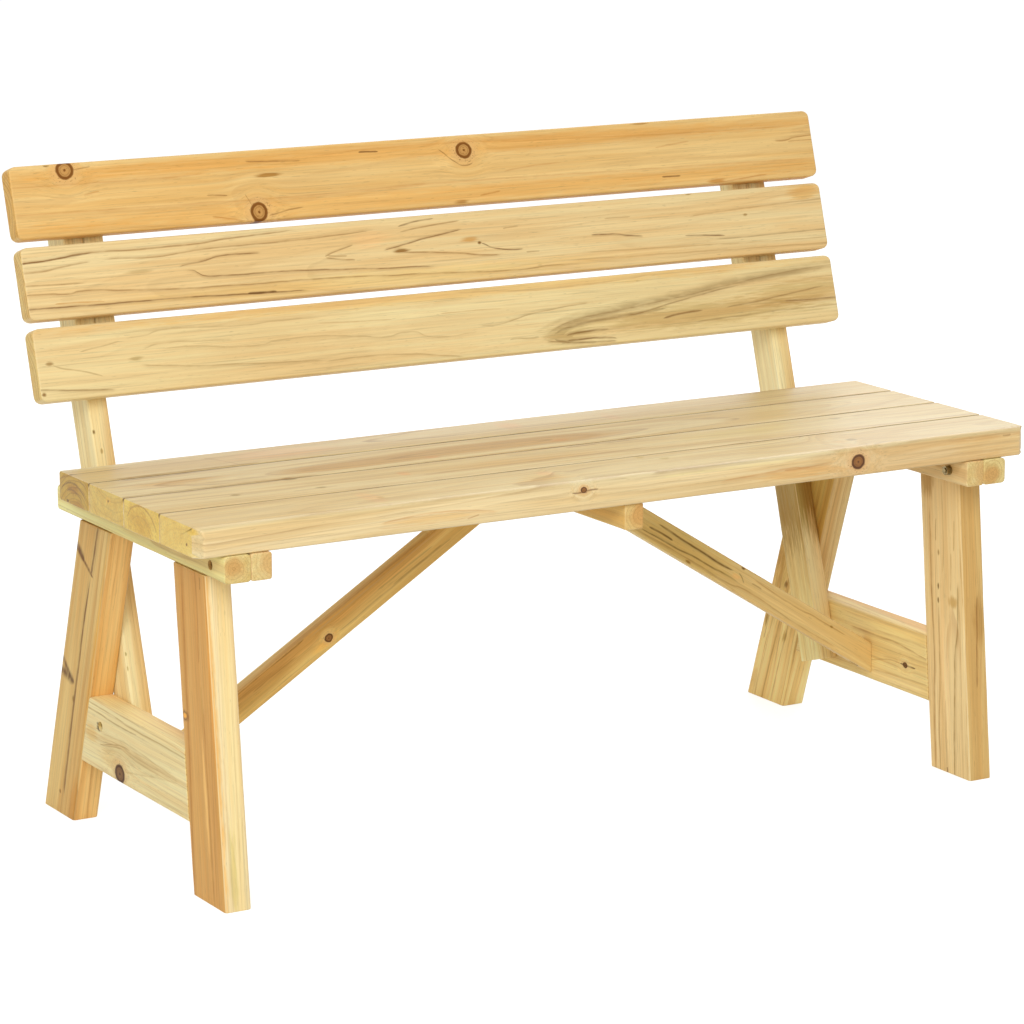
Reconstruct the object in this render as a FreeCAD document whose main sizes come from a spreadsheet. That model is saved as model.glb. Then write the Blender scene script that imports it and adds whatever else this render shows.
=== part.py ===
"""A planked garden bench of sawn softwood, as a parametric document of its separate pieces.

Lengths are millimetres and angles are degrees. X runs along the bench, the front faces -Y and
+Z is up. The origin is on the floor, under the middle of the bench.

Four planks lie on two side cleats and a centre cleat. Each side frame is a top rail on a front
leg and a rear leg, with a stretcher between them. The two uprights of the backrest stand against
the inner faces of the stretchers and pass behind the seat, and three boards hang on their front
faces. Two braces run from the stretchers up to the centre cleat.
"""
import FreeCAD, Part
import os
import re
from collections import namedtuple

import Sketcher

SIZES = {
    # Seat planks
    "seat_length": 1100,
    "seat_height": 434,
    "seat_thickness": 34,
    "plank_width": 90,
    "rear_plank_width": 80,
    "plank_gap": 1.5,
    "nose_radius": 8,
    "front_corner_cut": 10,
    "plank_arris_radius": 2.5,
    # Rails and cleats under the seat
    "heavy_stock": 32,
    "light_stock": 25,
    "rail_height": 30.5,
    "rail_inset": 32,
    "rail_front_reach": 2,
    "rail_rear_reach": 80,
    "rail_arris_radius": 4,
    "cleat_rear_inset": 10,
    "cleat_arris_radius": 2.5,
    "centre_cleat_setback": 5,
    "end_arris_radius": 1.5,
    # Legs and stretchers
    "leg_width": 80,
    "leg_arris_radius": 3,
    "front_leg_setback": 49,
    "front_leg_splay_angle": 5.7,
    "rear_leg_setback": 61,
    "rear_leg_splay_angle": 18.5,
    "stretcher_height": 83,
    "stretcher_lift": 80,
    "stretcher_arris_radius": 3,
    # Backrest
    "upright_depth": 48,
    "upright_arris_radius": 2.5,
    "back_lean_angle": 17,
    "back_clearance": 41,
    "upright_top_drop": 12,
    "board_overhang": 2,
    "board_height": 85,
    "board_thickness": 24,
    "board_gap": 8.7,
    "board_rise": 67.5,
    "board_corner_radius": 9,
    "board_arris_radius": 2.5,
    "batten_depth": 30.5,
    "batten_arris_radius": 2,
    "batten_end_inset": 6,
    # Braces
    "brace_thickness": 20,
    "brace_width": 33,
    "brace_arris_radius": 2,
    "brace_head_reach": 50,
    "brace_foot_lift": 9,
    # Wood screws
    "fit_clearance": 0.2,
    "screw_shank": 4.5,
    "screw_head": 9,
    "long_screw_shank": 6,
    "long_screw_head": 11,
    "screw_point": 8,
    "drive_width": 4.4,
    "drive_slot": 1.2,
    "drive_depth": 1.6,
    "seat_screw_length": 50,
    "cleat_screw_length": 45,
    "upright_screw_length": 45,
    "leg_screw_length": 90,
    "stretcher_screw_length": 60,
    "board_screw_length": 45,
    "batten_screw_length": 40,
    "brace_head_screw_length": 40,
    "brace_foot_screw_length": 40,
    "upright_screw_spread": 24,
    "leg_screw_spread": 36,
    "toe_screw_inset": 22,
    "toe_screw_sink": 4,
    "toe_screw_angle": 45,
    "brace_head_screw_inset": 22,
    "brace_foot_screw_lift": 13,
    "drill_overrun": 15,
    # Frame bolts
    "bolt_diameter": 6,
    "bolt_length": 55,
    "bolt_head_width": 10,
    "bolt_head_height": 6,
    "bolt_socket_width": 5,
    "bolt_socket_depth": 3,
    "bolt_recess": 10,
    "recess_clearance": 0.5,
    "washer_width": 12,
    "washer_thickness": 1.6,
    "nut_width": 10,
    "nut_height": 5,
    "rail_bolt_setback": 35,
    "stretcher_bolt_lift": 55,
}

PLACES = {
    # Seat, measured from its middle
    "seat_depth": "3 * plank_width + rear_plank_width + 3 * plank_gap",
    "seat_back": "seat_depth / 2",
    "seat_underside": "seat_height - seat_thickness",
    "plank_pitch": "plank_width + plank_gap",
    "front_plank_y": "plank_width / 2 - seat_back",
    "second_plank_y": "front_plank_y + plank_pitch",
    "third_plank_y": "second_plank_y + plank_pitch",
    "rear_plank_y": "seat_back - rear_plank_width / 2",
    # Side frames
    "rail_outside": "seat_length / 2 - rail_inset",
    "rail_inside": "rail_outside - heavy_stock",
    "rail_x": "(rail_outside + rail_inside) / 2",
    "cleat_inside": "rail_inside - light_stock",
    "cleat_x": "(rail_inside + cleat_inside) / 2",
    "rail_underside": "seat_underside - rail_height",
    "rail_z": "(seat_underside + rail_underside) / 2",
    "rail_front": "-(seat_back + rail_front_reach)",
    "rail_rear": "seat_back + rail_rear_reach",
    "rail_length": "rail_rear - rail_front",
    "cleat_rear": "seat_back - cleat_rear_inset",
    "cleat_length": "cleat_rear - rail_front",
    "centre_cleat_front": "centre_cleat_setback - seat_back",
    "centre_cleat_length": "cleat_rear - centre_cleat_front",
    "front_leg_cut": "leg_width / cos(front_leg_splay_angle)",
    "front_leg_shift": "rail_underside * tan(front_leg_splay_angle)",
    "front_leg_toe": "rail_front + front_leg_setback - front_leg_shift",
    "rear_leg_cut": "leg_width / cos(rear_leg_splay_angle)",
    "rear_leg_shift": "rail_underside * tan(rear_leg_splay_angle)",
    "rear_leg_head": "rail_rear - rear_leg_setback - rear_leg_cut",
    "stretcher_top": "stretcher_lift + stretcher_height",
    "stretcher_datum": "front_leg_toe + front_leg_cut",
    "stretcher_room": "rear_leg_head + rear_leg_shift - stretcher_datum",
    # Backrest, in its leaning frame, which starts at the rear corner of the uprights' feet
    "back_line": "seat_back + back_clearance",
    "back_rise": "seat_height - stretcher_lift",
    "upright_cut": "upright_depth / cos(back_lean_angle)",
    "back_foot": "back_line + upright_cut - back_rise * tan(back_lean_angle)",
    "board_length": "seat_length + 2 * board_overhang",
    "seat_mark": "back_rise / cos(back_lean_angle) - upright_depth * tan(back_lean_angle)",
    "board_start": "seat_mark + board_rise",
    "board_pitch": "board_height + board_gap",
    "back_top": "board_start + 2 * board_pitch + board_height",
    "upright_length": "back_top - upright_top_drop",
    "batten_x": "cleat_inside - light_stock / 2",
    "batten_start": "board_start + batten_end_inset",
    "batten_length": "back_top - board_start - 2 * batten_end_inset",
    "batten_back": "batten_depth - upright_depth",
    "batten_axis": "batten_depth / 2 - upright_depth",
    # Braces, at the angle that joins the head's reach to the foot's height
    "brace_foot": "stretcher_lift + brace_foot_lift",
    "brace_run": "rail_inside - brace_head_reach",
    "brace_drop": "seat_underside - brace_foot",
    "brace_angle": "acos(brace_width / hypot(brace_run; brace_drop)) - atan(brace_run / brace_drop)",
    "brace_cut": "brace_width / cos(brace_angle)",
    "brace_length": "rail_inside - light_stock / 2",
    "brace_butt": "brace_length * tan(brace_angle)",
    # Fasteners
    "rail_bolt_y": "rail_front + rail_bolt_setback",
    "bolt_seat": "rail_outside - bolt_recess + bolt_head_height",
    "nut_seat": "cleat_inside - washer_thickness",
    "upright_axis_y": "back_line + upright_cut / 2",
    "upright_at_rail": "upright_axis_y - (seat_height - rail_z) * tan(back_lean_angle)",
    "stretcher_bolt_z": "stretcher_lift + stretcher_bolt_lift",
    "upright_front_at_bolt": "back_line - (seat_height - stretcher_bolt_z) * tan(back_lean_angle)",
    "rear_leg_at_bolt": "rear_leg_head + (rail_underside - stretcher_bolt_z) * tan(rear_leg_splay_angle)",
    "bolted_depth": "min(upright_cut; rear_leg_at_bolt - upright_front_at_bolt)",
    "stretcher_bolt_y": "upright_front_at_bolt + bolted_depth / 2",
    "leg_screw_grip": "(leg_screw_length - rail_height) / 2",
    "front_leg_head_y": "front_leg_toe + front_leg_shift + front_leg_cut / 2",
    "front_leg_screw_y": "front_leg_head_y - leg_screw_grip * tan(front_leg_splay_angle)",
    "rear_leg_screw_y": "rear_leg_head + rear_leg_cut / 2 + leg_screw_grip * tan(rear_leg_splay_angle)",
    "front_joint_y": "stretcher_datum + stretcher_lift * tan(front_leg_splay_angle)",
    "rear_joint_y": "stretcher_datum + stretcher_room - stretcher_lift * tan(rear_leg_splay_angle)",
    "brace_head_screw_x": "light_stock / 2 + brace_head_screw_inset",
    "brace_head_screw_run": "rail_inside - brace_head_screw_x + screw_head / 2",
    "brace_head_screw_z": "brace_foot + brace_head_screw_run * tan(brace_angle)",
    "brace_foot_screw_z": "brace_foot + brace_foot_screw_lift",
    "brace_foot_screw_run": "(brace_foot_screw_lift - screw_head / 2) / tan(brace_angle)",
    "brace_foot_screw_x": "rail_inside - brace_foot_screw_run",
    # Middle of the bench from front to back
    "middle": "(rail_front + back_foot + upright_length * sin(back_lean_angle)) / 2",
}

SIDES = {"left": "-", "right": ""}
BOARDS = ("bottom", "middle", "top")
BOARD_SCREW_SHARES = (0.25, 0.75)
X_AXIS = FreeCAD.Vector(1, 0, 0)
Y_AXIS = FreeCAD.Vector(0, 1, 0)
Z_AXIS = FreeCAD.Vector(0, 0, 1)
TOLERANCE = 1e-4

Spot = namedtuple("Spot", "x y z axis angle")

doc = FreeCAD.newDocument("garden_bench")
sheet = doc.addObject("Spreadsheet::Sheet", "Sizes")


def fill_sheet():
    """Write each size and each formula into the sheet under its name."""
    for row, (alias, value) in enumerate({**SIZES, **PLACES}.items(), start=1):
        sheet.set(f"A{row}", alias)
        sheet.set(f"B{row}", f"={value}" if alias in PLACES else str(value))
        sheet.setAlias(f"B{row}", alias)
    doc.recompute()


def bound(formula):
    """Put the sheet's name before each of its aliases, as another object's expression needs."""
    named = lambda match: f"Sizes.{match[0]}" if match[0] in {**SIZES, **PLACES} else match[0]
    return re.sub(r"[a-z_]+", named, formula)


def number(formula):
    """Work out a formula of the sheet's names."""
    result = sheet.evalExpression(formula)
    return float(getattr(result, "Value", result))


def place(item, x="0", y="0", z="0", axis=X_AXIS, angle="0"):
    """Bind an object's place, turned by a positive angle about an axis."""
    spot = FreeCAD.Vector(number(x), number(y), number(z))
    item.Placement = FreeCAD.Placement(spot, FreeCAD.Rotation(axis, number(angle)))
    for key, formula in zip("xyz", (x, y, z)):
        item.setExpression(f"Placement.Base.{key}", bound(formula))
    if number(angle):
        item.setExpression("Placement.Rotation.Angle", bound(angle))


def stand(item, x="0", y="0", z="0"):
    """Place an upright object whose y is measured from the seat's middle."""
    place(item, x, f"{y} - middle", z)


def lean(item, x="0"):
    """Place an object in the leaning frame of the backrest."""
    place(item, x, "back_foot - middle", "stretcher_lift", -X_AXIS, "back_lean_angle")


def new_body(name):
    """Add an empty body under its label."""
    body = doc.addObject("PartDesign::Body", name)
    body.Label = name
    return body


def new_sketch(body, plane, name, offset="0"):
    """Attach an empty sketch to one of the body's own planes, moved off it along its normal."""
    sketch = body.newObject("Sketcher::SketchObject", f"{body.Name}_{name}")
    support = next(item for item in body.Origin.OriginFeatures if item.Role == f"{plane}_Plane")
    sketch.AttachmentSupport = [(support, "")]
    sketch.MapMode = "FlatFace"
    sketch.setExpression("AttachmentOffset.Base.z", bound(offset))
    return sketch


def pin(sketch, geometry, point, x, y):
    """Tie one point of a sketch to its two formulas."""
    for kind, formula in (("DistanceX", x), ("DistanceY", y)):
        rule = Sketcher.Constraint(kind, -1, 1, geometry, point, number(formula))
        index = sketch.addConstraint(rule)
        sketch.setExpression(f"Constraints[{index}]", bound(formula))


def draw_outline(sketch, corners):
    """Join the corners, each a pair of formulas, by lines into one closed outline."""
    points = [FreeCAD.Vector(number(x), number(y), 0) for x, y in corners]
    first = sketch.GeometryCount
    for start, end in zip(points, points[1:] + points[:1]):
        sketch.addGeometry(Part.LineSegment(start, end))
    for index, (x, y) in enumerate(corners):
        following = first + (index + 1) % len(corners)
        sketch.addConstraint(Sketcher.Constraint("Coincident", first + index, 2, following, 1))
        pin(sketch, first + index, 1, x, y)


def draw_circle(sketch, diameter):
    """Draw a circle about the sketch's origin."""
    centre = FreeCAD.Vector(0, 0, 0)
    index = sketch.addGeometry(Part.Circle(centre, Z_AXIS, number(diameter) / 2))
    sketch.addConstraint(Sketcher.Constraint("Coincident", index, 3, -1, 1))
    rule = sketch.addConstraint(Sketcher.Constraint("Diameter", index, number(diameter)))
    sketch.setExpression(f"Constraints[{rule}]", bound(diameter))


def rectangle(width, height, x="0", y="0"):
    """Give the corners of a rectangle from its lower left corner."""
    return [(x, y), (f"{x} + {width}", y), (f"{x} + {width}", f"{y} + {height}"), (x, f"{y} + {height}")]


def hexagon(flats):
    """Give the corners of a hexagon about the origin from its width across flats."""
    steps = (0, 60, 120, 180, 240, 300)
    radius = f"{flats} / 2 / cos(30)"
    return [(f"{radius} * cos({step})", f"{radius} * sin({step})") for step in steps]


def pad(body, sketch, length, midplane=True):
    """Pad a sketch to a length, to both sides of its plane or along its normal."""
    feature = body.newObject("PartDesign::Pad", f"{body.Name}_pad")
    feature.Profile = sketch
    feature.Midplane = midplane
    feature.setExpression("Length", bound(length))
    doc.recompute()
    return feature


def pocket(body, sketch, depth):
    """Cut a sketch down from its plane, against its normal."""
    feature = body.newObject("PartDesign::Pocket", f"{body.Name}_pocket")
    feature.Profile = sketch
    feature.setExpression("Length", bound(depth))
    doc.recompute()
    return feature


def along(direction):
    """Make a test for straight edges that run along a direction."""
    def test(edge):
        return isinstance(edge.Curve, Part.Line) and \
            edge.Curve.Direction.cross(direction).Length < TOLERANCE
    return test


def on_faces(axis, *places):
    """Make a test for edges that lie whole in one of the planes across an axis."""
    def test(edge):
        box = edge.BoundBox
        low = FreeCAD.Vector(box.XMin, box.YMin, box.ZMin).dot(axis)
        high = FreeCAD.Vector(box.XMax, box.YMax, box.ZMax).dot(axis)
        return any(abs(low - spot) < TOLERANCE and abs(high - spot) < TOLERANCE for spot in places)
    return test


def all_of(*tests):
    """Join tests into one that asks them all."""
    return lambda edge: all(test(edge) for test in tests)


def ease_edges(body, kind, size, test, name):
    """Fillet or chamfer the edges of the body's last feature that pass a test."""
    base = body.Tip
    chosen = [f"Edge{index}" for index, edge in enumerate(base.Shape.Edges, start=1) if test(edge)]
    if not chosen:
        raise ValueError(f"{body.Label}: no edge for {name}")
    feature = body.newObject(f"PartDesign::{kind}", f"{body.Name}_{name}")
    feature.Base = (base, chosen)
    feature.setExpression("Radius" if kind == "Fillet" else "Size", bound(size))
    doc.recompute()
    return feature


def round_edges(body, radius, test, name="arris"):
    """Round the edges of the body's last feature that pass a test."""
    return ease_edges(body, "Fillet", radius, test, name)


def bar(name, corners, thickness, plane="YZ"):
    """Pad a side outline to both sides of its plane."""
    body = new_body(name)
    sketch = new_sketch(body, plane, "outline")
    draw_outline(sketch, corners)
    pad(body, sketch, thickness)
    return body


def squared_bar(name, length, stock, arris):
    """Make a rail or cleat along Y, with rounded arrises and eased ends."""
    body = bar(name, rectangle(length, "rail_height"), stock)
    round_edges(body, arris, along(Y_AXIS))
    round_edges(body, "end_arris_radius", on_faces(Y_AXIS, 0, number(length)), "end")
    return body


def seat_plank(name, y, width):
    """Make one plank with eased arrises. The front one has cut corners and a rounder nose."""
    body = bar(name, rectangle(width, "seat_thickness"), "seat_length")
    half, depth, top = number("seat_length / 2"), number(width), number("seat_thickness")
    if name.startswith("seat_plank_1"):
        front_corners = all_of(along(Z_AXIS), on_faces(Y_AXIS, 0))
        ease_edges(body, "Chamfer", "front_corner_cut", front_corners, "corner")
        nose = all_of(along(X_AXIS), on_faces(Y_AXIS, 0), on_faces(Z_AXIS, top))
        round_edges(body, "nose_radius", nose, "nose")
    corners = all_of(along(X_AXIS), on_faces(Y_AXIS, 0, depth), on_faces(Z_AXIS, 0, top))
    round_edges(body, "plank_arris_radius", corners)
    round_edges(body, "end_arris_radius", on_faces(X_AXIS, -half, half), "end")
    stand(body, "0", f"{y} - {width} / 2", "seat_underside")
    return body


def front_leg(name, side):
    """Make a front leg, which splays forwards from the rail to the floor."""
    corners = [("0", "0"), ("front_leg_cut", "0"),
               ("front_leg_cut + front_leg_shift", "rail_underside"), ("front_leg_shift", "rail_underside")]
    body = bar(name, corners, "heavy_stock")
    slope = FreeCAD.Vector(0, number("front_leg_shift"), number("rail_underside")).normalize()
    round_edges(body, "leg_arris_radius", along(slope))
    stand(body, f"{side}rail_x", "front_leg_toe")
    return body


def rear_leg(name, side):
    """Make a rear leg, which splays backwards from the rail to the floor."""
    corners = [("rear_leg_shift", "0"), ("rear_leg_shift + rear_leg_cut", "0"),
               ("rear_leg_cut", "rail_underside"), ("0", "rail_underside")]
    body = bar(name, corners, "heavy_stock")
    slope = FreeCAD.Vector(0, -number("rear_leg_shift"), number("rail_underside")).normalize()
    round_edges(body, "leg_arris_radius", along(slope))
    stand(body, f"{side}rail_x", "rear_leg_head")
    return body


def stretcher(name, side):
    """Make a stretcher, whose ends follow the slopes of the two legs that it joins."""
    corners = [("stretcher_lift * tan(front_leg_splay_angle)", "0"),
               ("stretcher_room - stretcher_lift * tan(rear_leg_splay_angle)", "0"),
               ("stretcher_room - stretcher_top * tan(rear_leg_splay_angle)", "stretcher_height"),
               ("stretcher_top * tan(front_leg_splay_angle)", "stretcher_height")]
    body = bar(name, corners, "heavy_stock")
    round_edges(body, "stretcher_arris_radius", along(Y_AXIS))
    stand(body, f"{side}rail_x", "stretcher_datum", "stretcher_lift")
    return body


def leaning_post(name, side, x, corners, arris):
    """Make a post that stands in the leaning frame of the backrest."""
    body = bar(name, corners, "light_stock")
    round_edges(body, arris, along(Z_AXIS))
    lean(body, f"{side}{x}")
    return body


def back_board(name, index):
    """Make one board of the backrest, with rounded corners and arrises."""
    corners = rectangle("board_length", "board_height", "-board_length / 2",
                        f"board_start + {index} * board_pitch")
    body = new_body(name)
    sketch = new_sketch(body, "XZ", "outline", "upright_depth")
    draw_outline(sketch, corners)
    pad(body, sketch, "board_thickness", midplane=False)
    round_edges(body, "board_corner_radius", along(Y_AXIS), "corner")
    front = number("-upright_depth - board_thickness")
    back = number("-upright_depth")
    round_edges(body, "board_arris_radius", on_faces(Y_AXIS, front, back))
    lean(body)
    return body


def brace(name, side):
    """Make a brace from the stretcher's inner face to the centre cleat and the planks above."""
    head = "brace_head_reach - light_stock / 2"
    corners = [("brace_length", "0"), ("brace_length", "brace_cut"), (head, "brace_drop"),
               ("0", "brace_drop"), ("0", "brace_butt")]
    body = bar(name, [(f"{side}({x})", z) for x, z in corners], "brace_thickness", "XZ")
    run = number(f"{side}brace_length")
    slope = FreeCAD.Vector(run, 0, -number("brace_butt")).normalize()
    round_edges(body, "brace_arris_radius", along(slope))
    stand(body, f"{side}(light_stock / 2)", "third_plank_y", "brace_foot")
    return body


def turned(name, corners):
    """Revolve a half outline about its upright axis."""
    body = new_body(name)
    sketch = new_sketch(body, "XZ", "outline")
    draw_outline(sketch, corners)
    feature = body.newObject("PartDesign::Revolution", f"{name}_turned")
    feature.Profile = sketch
    feature.ReferenceAxis = (sketch, ["V_Axis"])
    doc.recompute()
    return body


def screw(name, length, shank, head):
    """Make a countersunk wood screw that points down from the top of its head, with its drive."""
    sink = f"({head} - {shank}) / 2"
    corners = [("0", "0"), (f"{head} / 2", "0"), (f"{shank} / 2", f"-{sink}"),
               (f"{shank} / 2", f"screw_point - {length}"), ("0", f"-{length}")]
    body = turned(name, corners)
    wide, slot = "drive_width / 2", "drive_slot / 2"
    cross = [(f"-{slot}", f"-{wide}"), (slot, f"-{wide}"), (slot, f"-{slot}"), (wide, f"-{slot}"),
             (wide, slot), (slot, slot), (slot, wide), (f"-{slot}", wide), (f"-{slot}", slot),
             (f"-{wide}", slot), (f"-{wide}", f"-{slot}"), (f"-{slot}", f"-{slot}")]
    drive = new_sketch(body, "XY", "drive")
    draw_outline(drive, cross)
    pocket(body, drive, "drive_depth")
    return body


def screw_drill(name, length, shank, head):
    """Make the hole of a wood screw: its outline with clearance, open above the head."""
    hole, rim = f"{shank} / 2 + fit_clearance", f"{head} / 2 + fit_clearance"
    corners = [("0", "drill_overrun"), (rim, "drill_overrun"), (rim, "0"),
               (hole, f"-({head} - {shank}) / 2"), (hole, f"screw_point - {length}"),
               ("0", f"-{length} - fit_clearance")]
    return turned(name, corners)


def bolt():
    """Make a frame bolt that points down from the top of its head, with a hexagon socket."""
    end = "-bolt_head_height - bolt_length"
    corners = [("0", "0"), ("bolt_head_width / 2", "0"), ("bolt_head_width / 2", "-bolt_head_height"),
               ("bolt_diameter / 2", "-bolt_head_height"), ("bolt_diameter / 2", end), ("0", end)]
    body = turned("frame_bolt_pattern", corners)
    socket = new_sketch(body, "XY", "socket")
    draw_outline(socket, hexagon("bolt_socket_width"))
    pocket(body, socket, "bolt_socket_depth")
    return body


def bolt_drill():
    """Make the hole of a frame bolt: a recess down to the head's seat and a bore right through."""
    rim, hole = "bolt_head_width / 2 + recess_clearance", "bolt_diameter / 2 + fit_clearance"
    end = "-bolt_head_height - bolt_length - drill_overrun"
    corners = [("0", "drill_overrun"), (rim, "drill_overrun"), (rim, "-bolt_head_height"),
               (hole, "-bolt_head_height"), (hole, end), ("0", end)]
    return turned("frame_bolt_drill_pattern", corners)


def ring(name, outline, thickness):
    """Pad a washer or a nut up from its seat, with a clear hole for the bolt."""
    body = new_body(name)
    sketch = new_sketch(body, "XY", "outline")
    if outline == "washer_width":
        draw_circle(sketch, outline)
    else:
        draw_outline(sketch, hexagon(outline))
    draw_circle(sketch, "bolt_diameter + 2 * fit_clearance")
    pad(body, sketch, thickness, midplane=False)
    return body


def group(name, pattern, spots, leaning):
    """Repeat one pattern at its spots as a single named group of separate solids."""
    links = []
    for index, spot in enumerate(spots, start=1):
        link = doc.addObject("App::Link", f"{name}_{index}")
        link.LinkedObject = pattern
        place(link, *spot)
        links.append(link)
    compound = doc.addObject("Part::Compound", name)
    compound.Label = name
    compound.Links = links
    (lean if leaning else stand)(compound)
    return compound


def inward(side):
    """Give the turn that points a fastener from an outer face towards the bench's middle."""
    return (-Y_AXIS, "90") if side else (Y_AXIS, "90")


def outward(side):
    """Give the turn that points a fastener from the bench's middle towards an outer face."""
    return inward("" if side else "-")


def screw_spots():
    """List the spots of each group of wood screws, with the group's length and stock."""
    both = SIDES.values()
    plain, heavy = ("screw_shank", "screw_head"), ("long_screw_shank", "long_screw_head")
    plank_rows = ("front_plank_y", "second_plank_y", "third_plank_y", "rear_plank_y")
    seat_rows = [Spot(x, y, "rail_underside", X_AXIS, "180")
                 for x in ("-cleat_x", "0", "cleat_x") for y in plank_rows]
    cleat_rows = [Spot(f"{side}cleat_inside", y, "rail_z", *outward(side)) for side in both
                  for y in ("second_plank_y + plank_pitch / 2", "third_plank_y + plank_width / 2")]
    upright_rows = [Spot(f"{side}cleat_inside", f"upright_at_rail {sign} upright_screw_spread / 2",
                         "rail_z", *outward(side)) for side in both for sign in "-+"]
    leg_rows = [Spot(f"{side}rail_x", f"{y} {sign} leg_screw_spread / 2", "seat_underside", X_AXIS, "0")
                for side in both for y in ("front_leg_screw_y", "rear_leg_screw_y") for sign in "-+"]
    toe_z = "stretcher_lift + toe_screw_sink"
    toe_rows = [Spot(f"{side}rail_x", y, toe_z, axis, "90 + toe_screw_angle") for side in both
                for y, axis in (("front_joint_y + toe_screw_inset", -X_AXIS),
                                ("rear_joint_y - toe_screw_inset", X_AXIS))]
    board_rows = [Spot(f"{side}batten_x", "batten_back",
                       f"board_start + {index} * board_pitch + {share} * board_height", -X_AXIS, "90")
                  for side in both for index in range(len(BOARDS)) for share in BOARD_SCREW_SHARES]
    batten_rows = [Spot(f"{side}(cleat_inside - light_stock)", "batten_axis",
                        f"board_start + {index} * board_pitch + board_height / 2", *outward(side))
                   for side in both for index in range(len(BOARDS))]
    head_rows = [Spot(f"{side}brace_head_screw_x", "third_plank_y", "brace_head_screw_z", X_AXIS, "180")
                 for side in both]
    foot_rows = [Spot(f"{side}brace_foot_screw_x", "third_plank_y", "brace_foot_screw_z", *outward(side))
                 for side in both]
    return {
        "seat_screws": (seat_rows, *plain, False),
        "cleat_screws": (cleat_rows, *plain, False),
        "upright_screws": (upright_rows, *plain, False),
        "leg_screws": (leg_rows, *heavy, False),
        "stretcher_screws": (toe_rows, *plain, False),
        "board_screws": (board_rows, *plain, True),
        "batten_screws": (batten_rows, *plain, True),
        "brace_head_screws": (head_rows, *plain, False),
        "brace_foot_screws": (foot_rows, *plain, False),
    }


def build_screws():
    """Make each group of wood screws and the group of holes that takes it."""
    screws, drills = [], {}
    for name, (spots, shank, head, leaning) in screw_spots().items():
        length = f"{name[:-1]}_length"
        pattern = screw(f"{name}_pattern", length, shank, head)
        hole = screw_drill(f"{name}_drill_pattern", length, shank, head)
        screws.append(group(name, pattern, spots, leaning))
        drills[name] = group(f"{name}_drills", hole, spots, leaning)
    return screws, drills


def build_bolts():
    """Make the frame bolts with their washers and nuts, and the group of their holes."""
    points = (("rail_bolt_y", "rail_z"), ("stretcher_bolt_y", "stretcher_bolt_z"))
    heads, washers, nuts = [], [], []
    for side in SIDES.values():
        for y, z in points:
            heads.append(Spot(f"{side}bolt_seat", y, z, *inward(side)))
            washers.append(Spot(f"{side}cleat_inside", y, z, *outward(side)))
            nuts.append(Spot(f"{side}nut_seat", y, z, *outward(side)))
    bolts = [
        group("frame_bolts", bolt(), heads, False),
        group("frame_washers", ring("frame_washer_pattern", "washer_width", "washer_thickness"),
              washers, False),
        group("frame_nuts", ring("frame_nut_pattern", "nut_width", "nut_height"), nuts, False),
    ]
    return bolts, group("frame_bolts_drills", bolt_drill(), heads, False)


def build_timber():
    """Make every wooden piece before its holes, with the names of the fasteners that enter it."""
    planks = {"seat_plank_1": ("front_plank_y", "plank_width"),
              "seat_plank_2": ("second_plank_y", "plank_width"),
              "seat_plank_3": ("third_plank_y", "plank_width"),
              "seat_plank_4": ("rear_plank_y", "rear_plank_width")}
    timber = {}
    for name, (y, width) in planks.items():
        above_braces = ("brace_head_screws",) if name == "seat_plank_3" else ()
        timber[name] = (seat_plank(f"{name}_blank", y, width), ("seat_screws", *above_braces))
    centre = squared_bar("seat_cleat_centre_blank", "centre_cleat_length", "light_stock",
                         "cleat_arris_radius")
    stand(centre, "0", "centre_cleat_front", "rail_underside")
    timber["seat_cleat_centre"] = (centre, ("seat_screws",))
    upright_outline = rectangle("upright_depth", "upright_length", "-upright_depth")
    batten_outline = rectangle("batten_depth", "batten_length", "-upright_depth", "batten_start")
    for word, side in SIDES.items():
        cleat = squared_bar(f"seat_cleat_{word}_blank", "cleat_length", "light_stock", "cleat_arris_radius")
        stand(cleat, f"{side}cleat_x", "rail_front", "rail_underside")
        rail = squared_bar(f"top_rail_{word}_blank", "rail_length", "heavy_stock", "rail_arris_radius")
        stand(rail, f"{side}rail_x", "rail_front", "rail_underside")
        upright = leaning_post(f"back_upright_{word}_blank", side, "cleat_x", upright_outline,
                               "upright_arris_radius")
        batten = leaning_post(f"back_batten_{word}_blank", side, "batten_x", batten_outline,
                              "batten_arris_radius")
        timber.update({
            f"seat_cleat_{word}": (cleat, ("seat_screws", "cleat_screws", "frame_bolts")),
            f"top_rail_{word}": (rail, ("cleat_screws", "upright_screws", "leg_screws", "frame_bolts")),
            f"front_leg_{word}": (front_leg(f"front_leg_{word}_blank", side),
                                  ("leg_screws", "stretcher_screws")),
            f"rear_leg_{word}": (rear_leg(f"rear_leg_{word}_blank", side),
                                 ("leg_screws", "stretcher_screws")),
            f"stretcher_{word}": (stretcher(f"stretcher_{word}_blank", side),
                                  ("stretcher_screws", "brace_foot_screws", "frame_bolts")),
            f"back_upright_{word}": (upright, ("upright_screws", "batten_screws", "frame_bolts")),
            f"back_batten_{word}": (batten, ("batten_screws", "board_screws")),
            f"brace_{word}": (brace(f"brace_{word}_blank", side),
                              ("brace_head_screws", "brace_foot_screws")),
        })
    for index, word in enumerate(BOARDS):
        timber[f"back_board_{word}"] = (back_board(f"back_board_{word}_blank", index), ("board_screws",))
    return timber


def drilled(name, blank, drills):
    """Cut a piece's holes out of its blank."""
    tools = doc.addObject("Part::Compound", f"{name}_drills")
    tools.Links = drills
    piece = doc.addObject("Part::Cut", name)
    piece.Label = name
    piece.Base = blank
    piece.Tool = tools
    return piece


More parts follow.
